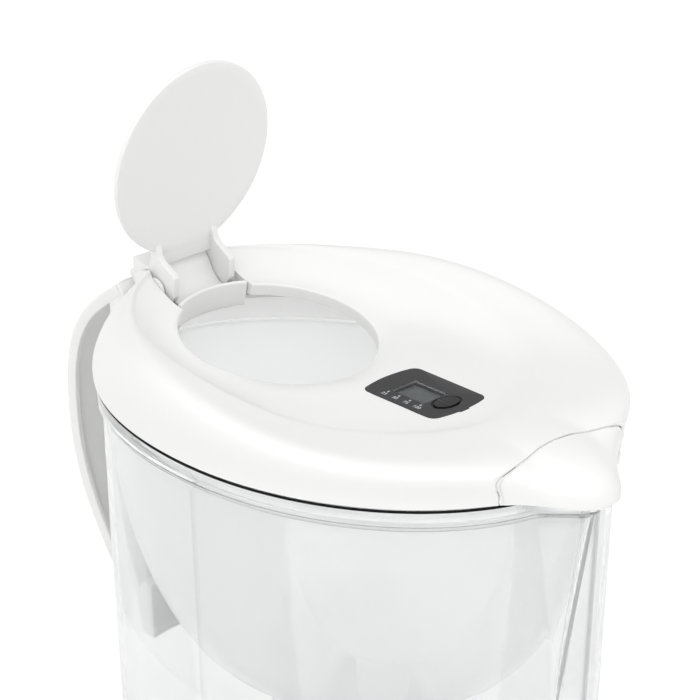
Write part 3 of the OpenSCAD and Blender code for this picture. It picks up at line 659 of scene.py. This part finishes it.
def dish(s, drop):
    """A ring of the dish: s is 1 at the crest and 0 at the opening."""
    a, b = opening(0, 0), crease(0)
    side_rise = s ** (dish_power + dish_side_power * np.abs(sin_t))
    rise = frontness * through(dish_stations, dish_rise, s) + (1 - frontness) * side_rise
    return on_lid(np.stack([
        a[:, 0] + (b[:, 0] - a[:, 0]) * s, a[:, 1] + (b[:, 1] - a[:, 1]) * s,
        a[:, 2] + (b[:, 2] - a[:, 2]) * rise - drop,
    ], 1))

# %% [markdown]
# Where the rolled side meets the dish the mould has a radius of a few millimetres. A few rounds of
# averaging along the profile give that radius without a formula for it.

# %% Lid shell and spout cover from one skin
def relaxed(rings, first, last, rounds):
    """Averages the rings between two places with their neighbours."""
    rings = [r.copy() for r in rings]
    for _ in range(rounds):
        rings = [
            rings[k] if not first <= k <= last else (rings[k - 1] + 2 * rings[k] + rings[k + 1]) / 4
            for k in range(len(rings))
        ]
    return rings


def lid_rings():
    sides = list(1 - np.linspace(0, 1, 40) ** 1.5)
    outside = [on_lid(lower_edge(0, -deck_h))] + [band(s, 0, 0) for s in sides[1:]]
    crest_at = len(outside) - 1
    outside += [dish(s, 0) for s in np.linspace(1, 0.03, 44)[1:]]
    outside = relaxed(outside, crest_at - 3, crest_at + 1, 2)
    lip = 0.8
    outside += [on_lid(opening(lip * (1 - s), lip * (1 - c) - 0.1)) for s, c in quarter(0, 90)]
    inside = [on_lid(opening(0, throat_h)), on_lid(opening(lid_skin, throat_h))]
    inside += [dish(s, lid_skin) for s in np.linspace(0.12, 0.97, 16)]
    inside += [band(s, -lid_skin, lid_skin) for s in np.linspace(0.02, 0.9, 14)]
    return outside + inside + [on_lid(lower_edge(-lid_skin, -deck_h))]


def cavity_rings(depth):
    """Everything deeper than a given depth below the lid's outside, up to the crest."""
    rings = [on_lid(lower_edge(-depth, -deck_h - 20))]
    rings += [band(s, -depth, depth) for s in np.linspace(1, 0, 24)[1:]]
    return rings + [dish(0.86, depth)]


seam_x = 88.2
seam_gap = 0.24
seam_stations = np.array([0, 8, 16, 22, 26, 30, 33, 50])
seam_bow = np.array([0, 0.4, 1.6, 2.7, 3.1, 2.9, 2.4, 2.4])
cut_half, cut_far, cut_low, cut_high = 50, 200, rim_z - 30, rim_z + 40


def seam_front(name, shift):
    """A solid of everything in front of the seam."""
    across = np.linspace(-cut_half, cut_half, 81)
    bow = np.array([through(seam_stations, seam_bow, min(abs(y), seam_stations[-2])) for y in across])
    outline = list(zip(plan_x + seam_x + shift + bow, across)) + [(cut_far, cut_half), (cut_far, -cut_half)]
    return prism(name, outline, cut_low, cut_high)


lip_depth, lip_back, step_back = 0.45, 4.6, 0.8
lid = loft("lid", lid_rings(), hollow=True)
cover = lid.copy()
cover.data = lid.data.copy()
cover.name = "beak_cover"
bpy.context.scene.collection.objects.link(cover)
combine(lid, seam_front("seam_cut", -seam_gap / 2))
lip_room = loft("lip_room", cavity_rings(lip_depth))
combine(lip_room, seam_front("lip_reach", -lip_back), "INTERSECT")
combine(lid, lip_room)

step = combine(loft("step", cavity_rings(lip_depth)), seam_front("step_front", seam_gap / 2), "INTERSECT")
front = combine(seam_front("cover_front", seam_gap / 2 + step_back), step, "UNION")
combine(cover, front, "INTERSECT")
print("lid", len(lid.data.polygons), "faces, cover", len(cover.data.polygons), "faces")

# %% [markdown]
# Two pockets are cut in the lid: a notch at the back for the hinge tray, and one for the timer. The
# timer's outline has bowed ends and round corners, so its pocket is the same outline, a little larger.

# %% Notch and timer pocket
tray_low, tray_high = (np.array(corner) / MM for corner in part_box("hinge_block"))
slack = 0.15
notch_back, notch_front, notch_half = tray_low[0] - slack, open_x - 20, tray_high[1] + slack
notch = [(notch_back, -notch_half), (notch_front, -notch_half), (notch_front, notch_half),
         (notch_back, notch_half)]
combine(lid, prism("notch", notch, tray_low[2] - 3, tray_low[2] + 40))

timer_x, timer_drop, timer_tilt = open_x + 71.7, 1.5, math.radians(1.8)
timer_l, timer_w, timer_t, timer_gap = 37, 27, 2, 0.12
box_outline = (30.5, 22, 2.1)
timer_frame = Matrix.Translation(Vector((timer_x, 0, deck_z - timer_drop)) * MM) @ Matrix.Rotation(
    timer_tilt, 4, "Y")


def arc(x, y, r, start, stop, steps):
    angles = np.radians(np.linspace(start, stop, steps + 1))
    return [(x + r * math.cos(a), y + r * math.sin(a)) for a in angles]


def timer_outline(grow):
    """Straight sides, bowed ends and round corners, about the timer's middle."""
    bulge, corner = 1.9, 3.4
    half = timer_w / 2
    end_r = (half ** 2 + bulge ** 2) / (2 * bulge)
    end_c = timer_l / 2 - end_r
    inner = half - corner
    turn = math.degrees(math.asin(inner / (end_r - corner)))
    corner_x = end_c + (end_r - corner) * math.cos(math.radians(turn))
    half_ring = (arc(corner_x, -inner, corner + grow, -90, -turn, 10)
                 + arc(end_c, 0, end_r + grow, -turn + 2, turn - 2, 14)
                 + arc(corner_x, inner, corner + grow, turn, 90, 10))
    return half_ring + [(-x, -y) for x, y in half_ring]


def rounded_box(length, width, corner, x=0, y=0):
    inner_x, inner_y = length / 2 - corner, width / 2 - corner
    points = []
    for sx, sy, start in ((1, 1, 0), (-1, 1, 90), (-1, -1, 180), (1, -1, 270)):
        points += arc(x + sx * inner_x, y + sy * inner_y, corner, start, start + 90, 8)
    return points


def on_timer(piece):
    """Moves a piece made about the origin to the timer's place, in its mesh."""
    piece.data.transform(timer_frame)
    return piece


def timer_cut(piece, name, outline, low, high):
    combine(piece, on_timer(prism(name, outline, low, high)))


room_floor, room_top = -timer_t - 0.1, 10
timer_cut(lid, "timer_room", timer_outline(timer_gap), room_floor, room_top)
tab_out, tab_l, tab_w = 0.6, 2.4, 5
for side in (-1, 1):
    tab_x = side * (timer_l / 2 + tab_out - tab_l / 2)
    tab_room = rounded_box(tab_l + 2 * timer_gap, tab_w + 2 * timer_gap, 0.9, tab_x)
    timer_cut(lid, "tab_room", tab_room, room_floor, room_top)
timer_cut(lid, "box_room", rounded_box(*box_outline), -12, 0)

# %% [markdown]
# Under the skin the lid has a skirt that drops into the collar, two hooks for the spout cover's pins
# and a pad under the timer. At the back a thumb rest stands up. They are separate pieces that hang
# on the lid's body.

# %% Skirt, hooks, pad and thumb rest
tongue_out = collar_in - 0.4
tongue_in = tongue_out - 2
skirt_h = 5.6
axis_x, axis_z = seam_x + open_back + 4.2, -8.2
hook_in, hook_t = 13.6, 3
lug_in, lug_t = 9.2, 4
pad_rim, pad_t = 2.5, 2.4


def deck_side(name, outline, low, high):
    """A prism from a side outline given from the fill opening's centre."""
    return prism(name, [(x + open_x, z + deck_z) for x, z in outline], low, high, axis="y")


def deck_pair(name, outline, inner, thick):
    """A right and a left plate of one outline, each thick from inner outwards."""
    return [deck_side(f"{name}_right", outline, -inner - thick, -inner),
            deck_side(f"{name}_left", outline, inner, inner + thick)]


def moved(outline, x, z):
    return [(a + x, b + z) for a, b in outline]


skirt = loft("skirt", [
    ring(body_radius(z, grow), z) for z, grow in (
        (rim_z + 2.5, tongue_in), (rim_z - skirt_h, tongue_in), (rim_z - skirt_h, tongue_out),
        (rim_z + 0.6, tongue_out), (rim_z + 0.6, -lid_skin / 2), (rim_z + 2.5, -lid_skin / 2))
], hollow=True)
combine(skirt, seam_front("skirt_cut", -seam_gap / 2))
# The skirt takes the white plastic with the painted glow.
dress(shade(skirt), thin_pp_painted_glow, "white_gloss", "lid_body")

hook = [(-18, 7), (-12, 6.4), (-8.8, 0.6), (-8.2, -3.2), (-4.8, -4.4), (-1.6, -2.2), (-2.6, 0),
        (-1.8, 1.8), (0, 2.6), (1.8, 1.8), (2.6, 0), (1.8, -1.8), (-3, -6.4), (-10, -6), (-13, -2)]
for piece in deck_pair("cover_hook", moved(hook, axis_x, axis_z), hook_in, hook_t):
    dress(round_edges(piece, 0.3), white_pp, "white_gloss", "lid_body")

thumb_rest = [(-58.5, 3), (-60, 10.4), (-63.5, 10.8), (-66, 11.4), (-68.6, 12.6), (-69.6, 11.8),
              (-69.2, 8), (-71.4, 6.2), (-71.2, 5), (-69.5, 3.5), (-68, 0.4), (-67.6, -8.5), (-65.6, -8.5)]
rest = round_edges(deck_side("thumb_rest", thumb_rest, -7, 7), 0.9, steps=3)
dress(rest, white_pp, "white_gloss", "lid_body")

pad_outline = rounded_box(timer_l + 2 * pad_rim, timer_w + 2 * pad_rim, 3.4)
pad = on_timer(prism("timer_pad", pad_outline, -timer_t - pad_t, -timer_t))
timer_cut(pad, "pad_hole", rounded_box(*box_outline), -12, 0)
dress(shade(pad), white_pp, "white_gloss", "lid_body")

dress(shade(lid, 28), white_pp, "white_gloss", "lid_body", "lid_shell")
dress(shade(cover, 28), white_pp, "white_gloss", "spout_cover", "spout_cover")

lug = [(-2.2, 0), (0, -2.4), (2.4, 0), (5.5, 3.9), (3, 4.9), (-1.5, 5.4)]
for piece in deck_pair("cover_lug", moved(lug, axis_x, axis_z), lug_in, lug_t):
    dress(round_edges(piece, 0.3), white_pp, "white_gloss", "spout_cover")

# %% [markdown]
# ## The handle
# The handle is a channel: a broad outer web with a flange down each side, open towards the jug. A
# section like that is stiff and light and comes straight out of a mould. The section is swept along
# a curve in the jug's middle plane, with round corners on the web.

# %% Handle strap
strap_top = [(-73, 2.5), (-85.6, -6.6), (-102.3, -15.7), (-102.3, -46)]
strap_low = [(-102.3, -46), (-102.3, -80.8), (-92.5, -96.8), (-62, -139)]
handle_w, handle_web, handle_depth, flange_t, handle_lip = 26, 3, 5.5, 2.2, 0.3


def bezier(points, u):
    a, b, c, d = (np.array(p) for p in points)
    return (1 - u) ** 3 * a + 3 * (1 - u) ** 2 * u * b + 3 * (1 - u) * u * u * c + u ** 3 * d


path = [bezier(strap_top, u) for u in np.linspace(0, 1, 40)]
path += [bezier(strap_low, u) for u in np.linspace(0, 1, 40)[1:]]
path = np.array(path)
along = np.gradient(path, axis=0)
inward = np.stack([-along[:, 1], along[:, 0]], 1) / np.linalg.norm(along, axis=1)[:, None]


def channel_section():
    """The channel's outline: (across, inward) points, the web's outer face at 0."""
    half, inner = handle_w / 2, handle_w / 2 - handle_lip
    crown, edge_r = 0.9, 1.1
    outer = [(y, crown * (y / half) ** 4) for y in np.linspace(-half + edge_r, half - edge_r, 21)]
    right_side = [(half - edge_r + edge_r * s, crown * 0.75 + edge_r * (1 - c))
                  for s, c in quarter(20, 90, 5)]
    right_side += [(inner, handle_web), (inner, handle_depth - 0.7), (inner - 0.2, handle_depth - 0.2),
                   (inner - 0.7, handle_depth), (inner - flange_t + 0.7, handle_depth),
                   (inner - flange_t + 0.2, handle_depth - 0.2), (inner - flange_t, handle_depth - 0.7),
                   (inner - flange_t, handle_web + 0.8), (inner - flange_t - 0.8, handle_web)]
    return outer + right_side + [(-y, d) for y, d in right_side[::-1]]


section = channel_section()
strap_rings = []
for (x, z), n in zip(path, inward):
    strap_rings.append(np.array([
        (open_x + x + d * n[0], y, deck_z + z + d * n[1]) for y, d in section]))
strap = loft("handle_strap", strap_rings)
dress(shade(strap, 32), white_pp, "white_gloss", "jug_body", "handle")

# %% [markdown]
# The strap ends in two solid feet: a root that hugs the jug's back just under the lid, with a riser
# behind the lid's wall, and a heel lower down. Both are cut to the jug's own curve.

# %% Handle feet
jug_skin = loft("jug_skin", jug_wall_rings(wall_out + 0.1, 0, foot_round)
                + [ring(jug_radius(collar_z - 0.8, wall_out + 0.1), collar_z - 0.8),
                   ring(jug_radius(collar_z + 0.8, collar_out + 0.1), collar_z + 0.8),
                   ring(jug_radius(rim_z - 0.5, collar_out + 0.1), rim_z - 0.5)])
lid_skin_room = loft("lid_skin_room", [on_lid(lower_edge(0.1, z - deck_h)) for z in (-1, 10, 20, 40)])
handle_back = plan_x - rear_reach
heel_z = deck_z - 139
feet = {
    "handle_root": (rim_z, [(12, -1), (-9, -1), (-8, -16), (-3, -36), (0, -40), (12, -40)]),
    "handle_riser": (deck_z, [(-5.8, -33.4), (-0.6, -33.4), (-0.6, -0.6), (-1.4, 0.4), (-4.7, 2.2),
                              (-8.2, -1.4), (-9, -6), (-8.4, -14)]),
    "handle_heel": (heel_z, [(16, 22), (2, 22), (-3, 12), (1, 0), (16, 0)]),
}
foot_half = handle_w / 2 - handle_lip - 0.25
for name, (base_z, outline) in feet.items():
    foot = prism(name, moved(outline, handle_back, base_z), -foot_half, foot_half, axis="y")
    for skin in (jug_skin, lid_skin_room):
        tool = skin.copy()
        bpy.context.scene.collection.objects.link(tool)
        combine(foot, tool)
    dress(round_edges(foot, 0.8, corner=30, steps=3), white_pp, "white_gloss", "jug_body")
for tool in (jug_skin, lid_skin_room):
    bpy.data.objects.remove(tool)

# %% [markdown]
# ## The fill cap
# The cap is a shallow dome turned about its middle, with a rolled rim, so a lathe profile makes it.
# Two arms and a neck carry it on the hinge. The cap is drawn shut and then swung open about its
# hinge, so that its place follows from the joint.

# %% Cap disc
cap_r, cap_t, cap_dome, cap_lift, cap_open = 37, 2, 3.4, 3, math.radians(90.8)
hinge = next(j for j in frame["joints"] if j["name"] == "cap_hinge")
pivot = Vector(hinge["pos_m"]) / MM
pivot_x, pivot_z = pivot.x - open_x, pivot.z - deck_z


def cap_profile():
    inner = cap_r - 2.4
    spread = inner * np.linspace(0, 1, 24) ** 0.8
    under = [(r, cap_dome * (1 - (r / inner) ** 2)) for r in spread]
    edge = [(cap_r - 0.7, 0)] + [(cap_r - 0.5 + 0.5 * s, 0.5 - 0.5 * c) for s, c in quarter(0, 90)]
    edge += [(cap_r - 0.7 + 0.7 * c, cap_t - 0.7 + 0.7 * s) for s, c in quarter(0, 90)]
    top = [(r, cap_t + cap_dome * (1 - (r / inner) ** 2)) for r in spread[::-1] * (1 - 0.6 / inner)]
    return under + edge + top


def lathe(name, profile, steps=192):
    """Turns (radius, height) points about Z. The first and last lie on the axis."""
    angles = np.linspace(0, 2 * np.pi, steps, endpoint=False)
    inner = profile[1:-1]
    points = [(0, 0, profile[0][1])]
    points += [(r * math.cos(a), r * math.sin(a), z) for r, z in inner for a in angles]
    points += [(0, 0, profile[-1][1])]
    last = len(points) - 1
    here, after = np.arange(steps), np.roll(np.arange(steps), -1)
    faces = [[0, 1 + i, 1 + j] for i, j in zip(here, after)]
    for k in range(len(inner) - 1):
        low, high = 1 + k * steps, 1 + (k + 1) * steps
        faces += np.stack([low + here, high + here, high + after, low + after], 1).tolist()
    low = 1 + (len(inner) - 1) * steps
    faces += [[low + i, last, low + j] for i, j in zip(here, after)]
    piece = mesh_object(name, points, faces)
    outward(piece)
    return piece


shut = Matrix.Translation(Vector((open_x, 0, deck_z)) * MM) @ Matrix.Rotation(deck_tilt, 4, "Y")
to_pivot = Matrix.Translation(pivot * MM)
swing = to_pivot @ Matrix.Rotation(-cap_open, 4, "Y") @ to_pivot.inverted()
cap = lathe("fill_cap", cap_profile())
cap.data.transform(swing @ shut @ Matrix.Translation(Vector((0, 0, cap_lift)) * MM))
dress(shade(cap, 40), white_pp, "white_gloss", "flip_cap", "flip_cap")

# %% [markdown]
# Each arm is a flat plate with a bore that snaps over a stub of the hinge through a slot at its back.
# A bar between the arms carries the disc. All are outlines from the side, given from the pivot.

# %% Cap arms and neck
arm_in, arm_t, stub_r = 12.4, 2.8, 2
arm_outline = [(-4.6, -2.2), (-3, -4.2), (0.9, -5), (6.9, -3.6), (8.6, -1), (8.8, 6), (8, 7.2),
               (2.4, 10.6), (0.6, 12.4), (-0.6, 17.5), (-3.2, 17.5), (-3.2, 12), (-4.6, 6), (-5.2, 2)]
arm_half = arm_in + arm_t


def round_about_pivot(radius):
    return arc(pivot_x, pivot_z, radius, 0, 352.5, 47)


bore = round_about_pivot(stub_r + 0.06)
snap = moved([(-8, -1.5), (0, -1.5), (0, 1.5), (-8, 1.5)], pivot_x, pivot_z)
for arm in deck_pair("cap_arm", moved(arm_outline, pivot_x, pivot_z), arm_in, arm_t):
    for cut in (bore, snap):
        combine(arm, deck_side("arm_cut", cut, -arm_half - 1, arm_half + 1))
    dress(round_edges(arm, 0.4, corner=30), white_pp, "white_gloss", "flip_cap")
neck = moved([(-3.1, 7.6), (-1, 7.6), (-1, 18.6), (-3.1, 18.6)], pivot_x, pivot_z)
neck = deck_side("cap_neck", neck, -arm_half + 0.1, arm_half - 0.1)
dress(round_edges(neck, 0.5, steps=3), white_pp, "white_gloss", "flip_cap")

# %% [markdown]
# The hinge block fills the notch: a tray with a ramp that sheds water into the opening, a cheek and a
# stub at each end for the arms to turn on, and an apron that hangs behind the opening. The apron is
# a broad smooth curve, so it gets many more facets than a solid needs.

# %% Hinge block
slot_wall, cheek_t, slot_floor = 16.9, 1.2, -2.4
tray_back, tray_floor = -57, -4
apron_r, apron_t, apron_h, apron_top, apron_half = 37.2, 1.6, 10.1, 0.6, 26


def on_deck(r, a, z):
    """A point at a radius, turn and height about the tilted opening."""
    x = r * math.cos(a)
    return x * cos_tilt + z * sin_tilt + open_x, r * math.sin(a), -x * sin_tilt + z * cos_tilt + deck_z


tray = deck_side("hinge_tray", [
    (tray_back, tray_floor), (-apron_r, tray_floor), (-apron_r, 3.6), (-40, 3.4), (-43.6, 5),
    (-46.4, 8), (-48.4, 11.6), (-50.2, 14.4), (-53.4, 13.8), (tray_back, 12)], -slot_wall, slot_wall)


for cheek in deck_pair("cheek", round_about_pivot(4.6), slot_wall - cheek_t, cheek_t):
    combine(tray, cheek, "UNION")
throat_r = apron_r + apron_t / 2
full_turn = np.linspace(0, 2 * np.pi, 192, endpoint=False)
throat = [np.array([on_deck(throat_r, a, z) for a in full_turn]) for z in (-20, 20)]
combine(tray, loft("throat", throat))
slot_in = arm_in - 0.4
slot_outline = [(tray_back + 1, slot_floor), (-38.8, slot_floor), (-36, 4.6), (-36, 5.1), (-34.6, 6.5),
                (-34.6, 30), (tray_back + 1, 30)]
for slot in deck_pair("arm_slot", slot_outline, slot_in, slot_wall - cheek_t - slot_in):
    combine(tray, slot)
dress(round_edges(tray, 0.35, corner=30), white_pp, "white_gloss", "lid_body", "hinge_block")
for stub in deck_pair("hinge_stub", round_about_pivot(stub_r), arm_in, slot_wall - cheek_t / 2 - arm_in):
    dress(shade(stub), white_pp, "white_gloss", "lid_body")


def apron_section():
    """Across the apron: a flat band with a round lip at the top and the bottom."""
    low, high, half = apron_top - apron_h, apron_top, apron_t / 2
    mid = apron_r + half
    rounds = ((high - half, 0), (low + half, np.pi))
    return [(mid + half * math.cos(a + start), z + half * math.sin(a + start))
            for z, start in rounds for a in np.linspace(0, np.pi, 9)]


apron_turns = np.radians(np.linspace(180 - apron_half, 180 + apron_half, 73))
apron_rings = [np.array([on_deck(r, a, z) for r, z in apron_section()]) for a in apron_turns]
dress(shade(loft("hinge_apron", apron_rings), 50), white_pp, "white_gloss", "lid_body")

# %% [markdown]
# ## Pieces that stay as they were built
# Small turned or straight-sided pieces already have their true shape in the frame. They only need
# their finish, and a broken edge so that their corners catch the light.

# %% Finish the CAD's own pieces
def finish_node(name, material, edge_mm):
    """Gives a node of the frame its material and, where it is asked for, a broken edge."""
    node = frame["nodes"][name]
    for place in range(len(node.material_slots)):
        node.material_slots[place].link = "OBJECT"
        node.material_slots[place].material = material
    if edge_mm:
        weld = node.modifiers.new("weld", "WELD")
        weld.merge_threshold = 0.002 * MM
        bevel = node.modifiers.new("edge", "BEVEL")
        bevel.width, bevel.segments, bevel.limit_method = edge_mm * MM, 2, "ANGLE"
        bevel.angle_limit = math.radians(35)
        bevel.harden_normals = True


finishes = {
    "timer_plate": (dark_abs, 0.3), "timer_window": (lens_acrylic, 0.0),
    "timer_display": (lcd_grey, 0.0), "start_button": (button_abs, 0.3), "snap_dome": (cell_steel, 0.0),
    "circuit_board": (board_green, 0.0), "coin_cell": (cell_steel, 0.0), "cell_clip": (clip_brass, 0.0),
    "timer_back": (back_abs, 0.0), "hopper_seal": (silicone, 0.0), "filter_ring": (silicone, 0.0),
    "filter_case": (filter_pp, 0.0), "filter_cap": (filter_pp, 0.3), "filter_media": (carbon, 0.0),
    "filter_top_mesh": (mesh_polyester, 0.0), "filter_bottom_mesh": (mesh_polyester, 0.0),
}
for name, (material, edge_mm) in finishes.items():
    finish_node(name, material, edge_mm)
print(len(finishes), "pieces of the frame keep their shape")

# %% [markdown]
# The plate carries a scale along the display's near edge: four short marks with plain numbers, pad
# printed in pale ink. Pad print lies on the surface as a film, so the marks are thin flat pieces.

# %% Scale beside the display
scale_start, scale_pitch, number_y, mark_y, film = -9.2, 5.1, -10.4, -8.3, 0.01


def printed(piece, x, y):
    """Lays flat artwork on the plate, a hair above its face."""
    piece.data.transform(timer_frame @ Matrix.Translation(Vector((x, y, 0.03)) * MM))
    dress(piece, mark_ink, "back_grey", "lid_body")


def numeral(name, words, height_mm):
    """A plain number as a flat mesh, centred on the origin."""
    curve = bpy.data.curves.new(name, "FONT")
    curve.body, curve.size, curve.align_x, curve.align_y = words, height_mm * MM, "CENTER", "CENTER"
    curve.resolution_u, curve.extrude = 4, film * MM
    drawn = bpy.data.objects.new(name, curve)
    bpy.context.scene.collection.objects.link(drawn)
    mesh = bpy.data.meshes.new_from_object(drawn.evaluated_get(bpy.context.evaluated_depsgraph_get()))
    bpy.data.objects.remove(drawn)
    piece = bpy.data.objects.new(name, mesh)
    bpy.context.scene.collection.objects.link(piece)
    return piece


for place, share in enumerate((25, 50, 75, 100)):
    x = scale_start + scale_pitch * place
    printed(numeral(f"scale_number_{share}", str(share), 2.3), x, number_y)
    printed(prism(f"scale_mark_{share}", rounded_box(0.45, 1.1, 0.2), -film, film), x, mark_y)

# %% [markdown]
# ## Floor and light
# White plastic on a pale floor needs bright light from nearly all round, or it turns grey. The world
# is a dome, brightest above and in front and dimmest behind, with a white band low down as a studio's
# backdrop has. The slow change over the dome is what shades the dish and the cap. One large soft
# lamp adds a trace of direction.

# %% Stage
def staged(name, corners, material):
    """A flat four-cornered thing round the object, which isn't part of it."""
    board = mesh_object(name, corners, [[0, 1, 2, 3]])
    board.data.materials.append(material)
    return board


floor_half, floor_gap = 4000, 0.05
floor_corners = [(x * floor_half, y * floor_half, 0) for x, y in ((-1, -1), (1, -1), (1, 1), (-1, 1))]
floor = staged("floor", floor_corners, plastic("floor_paint_white", "F3F3F3", 0.7))
floor.location.z = -floor_gap * MM

world = bpy.data.worlds.new("dome")
bpy.context.scene.world = world
world.use_nodes = True
sky = world.node_tree
direction = add_node(sky, "ShaderNodeTexCoord").outputs["Generated"]
to_light = (0.6 * sight + Vector((0, 0, 0.75))).normalized()
sky_dim, sky_swing, sky_least = 0.5, 1.4, 0.2
band_top, band_full = 0.45, 0.1
toward = add_node(sky, "ShaderNodeVectorMath", {0: direction, 1: to_light}, operation="DOT_PRODUCT")
graded = add_node(sky, "ShaderNodeMath", {0: toward.outputs["Value"], 1: sky_swing, 2: sky_dim},
                  operation="MULTIPLY_ADD")
dome = add_node(sky, "ShaderNodeMath", {0: graded.outputs[0], 1: sky_least}, operation="MAXIMUM")
parts = add_node(sky, "ShaderNodeSeparateXYZ", {"Vector": direction})
backdrop = add_node(sky, "ShaderNodeMapRange", {
    "Value": parts.outputs["Z"], "From Min": band_top, "From Max": band_full, "To Min": 0.0, "To Max": 1.0,
}, interpolation_type="SMOOTHSTEP")
blend = add_node(sky, "ShaderNodeMix", {
    0: backdrop.outputs["Result"], 2: dome.outputs[0], 3: 1.0}, data_type="FLOAT")
sky.links.new(blend.outputs[0], sky.nodes["Background"].inputs["Strength"])
sky.nodes["Background"].inputs["Color"].default_value = linear("FFFFFF")


def soft_lamp(name, place, target, size, power):
    """A square area lamp, placed in millimetres."""
    data = bpy.data.lights.new(name, "AREA")
    data.size, data.energy = size * MM, power
    lamp = bpy.data.objects.new(name, data)
    lamp.location = Vector(place) * MM
    lamp.rotation_euler = (Vector(place) - Vector(target)).to_track_quat("Z", "Y").to_euler()
    bpy.context.scene.collection.objects.link(lamp)


soft_lamp("key", (-500, -900, 1100), (0, 0, 200), 700, 0.5)
bpy.context.scene.view_settings.view_transform = "Standard"

# %% [markdown]
# Clear plastic shows only what it bends and mirrors. Two narrow dark cards stand beside the jug. Only
# its gloss and its bent edges see them: they give it the thin dark lines that draw a clear object.

# %% Dark cards
card_black = plastic("card_matt_black", "1A1A1C", 0.9)


def dark_card(name, across, away, width, tall):
    """A standing card: across and away from the middle of the view."""
    foot, half, lift = right * across - sight * away, right * width / 2, Vector((0, 0, tall))
    corners = [foot - half, foot + half, foot + half + lift, foot - half + lift]
    card = staged(name, [tuple(c) for c in corners], card_black)
    card.visible_camera = card.visible_diffuse = card.visible_shadow = False


dark_card("card_right", 205, 40, 36, 300)
dark_card("card_left", -190, -40, 24, 300)
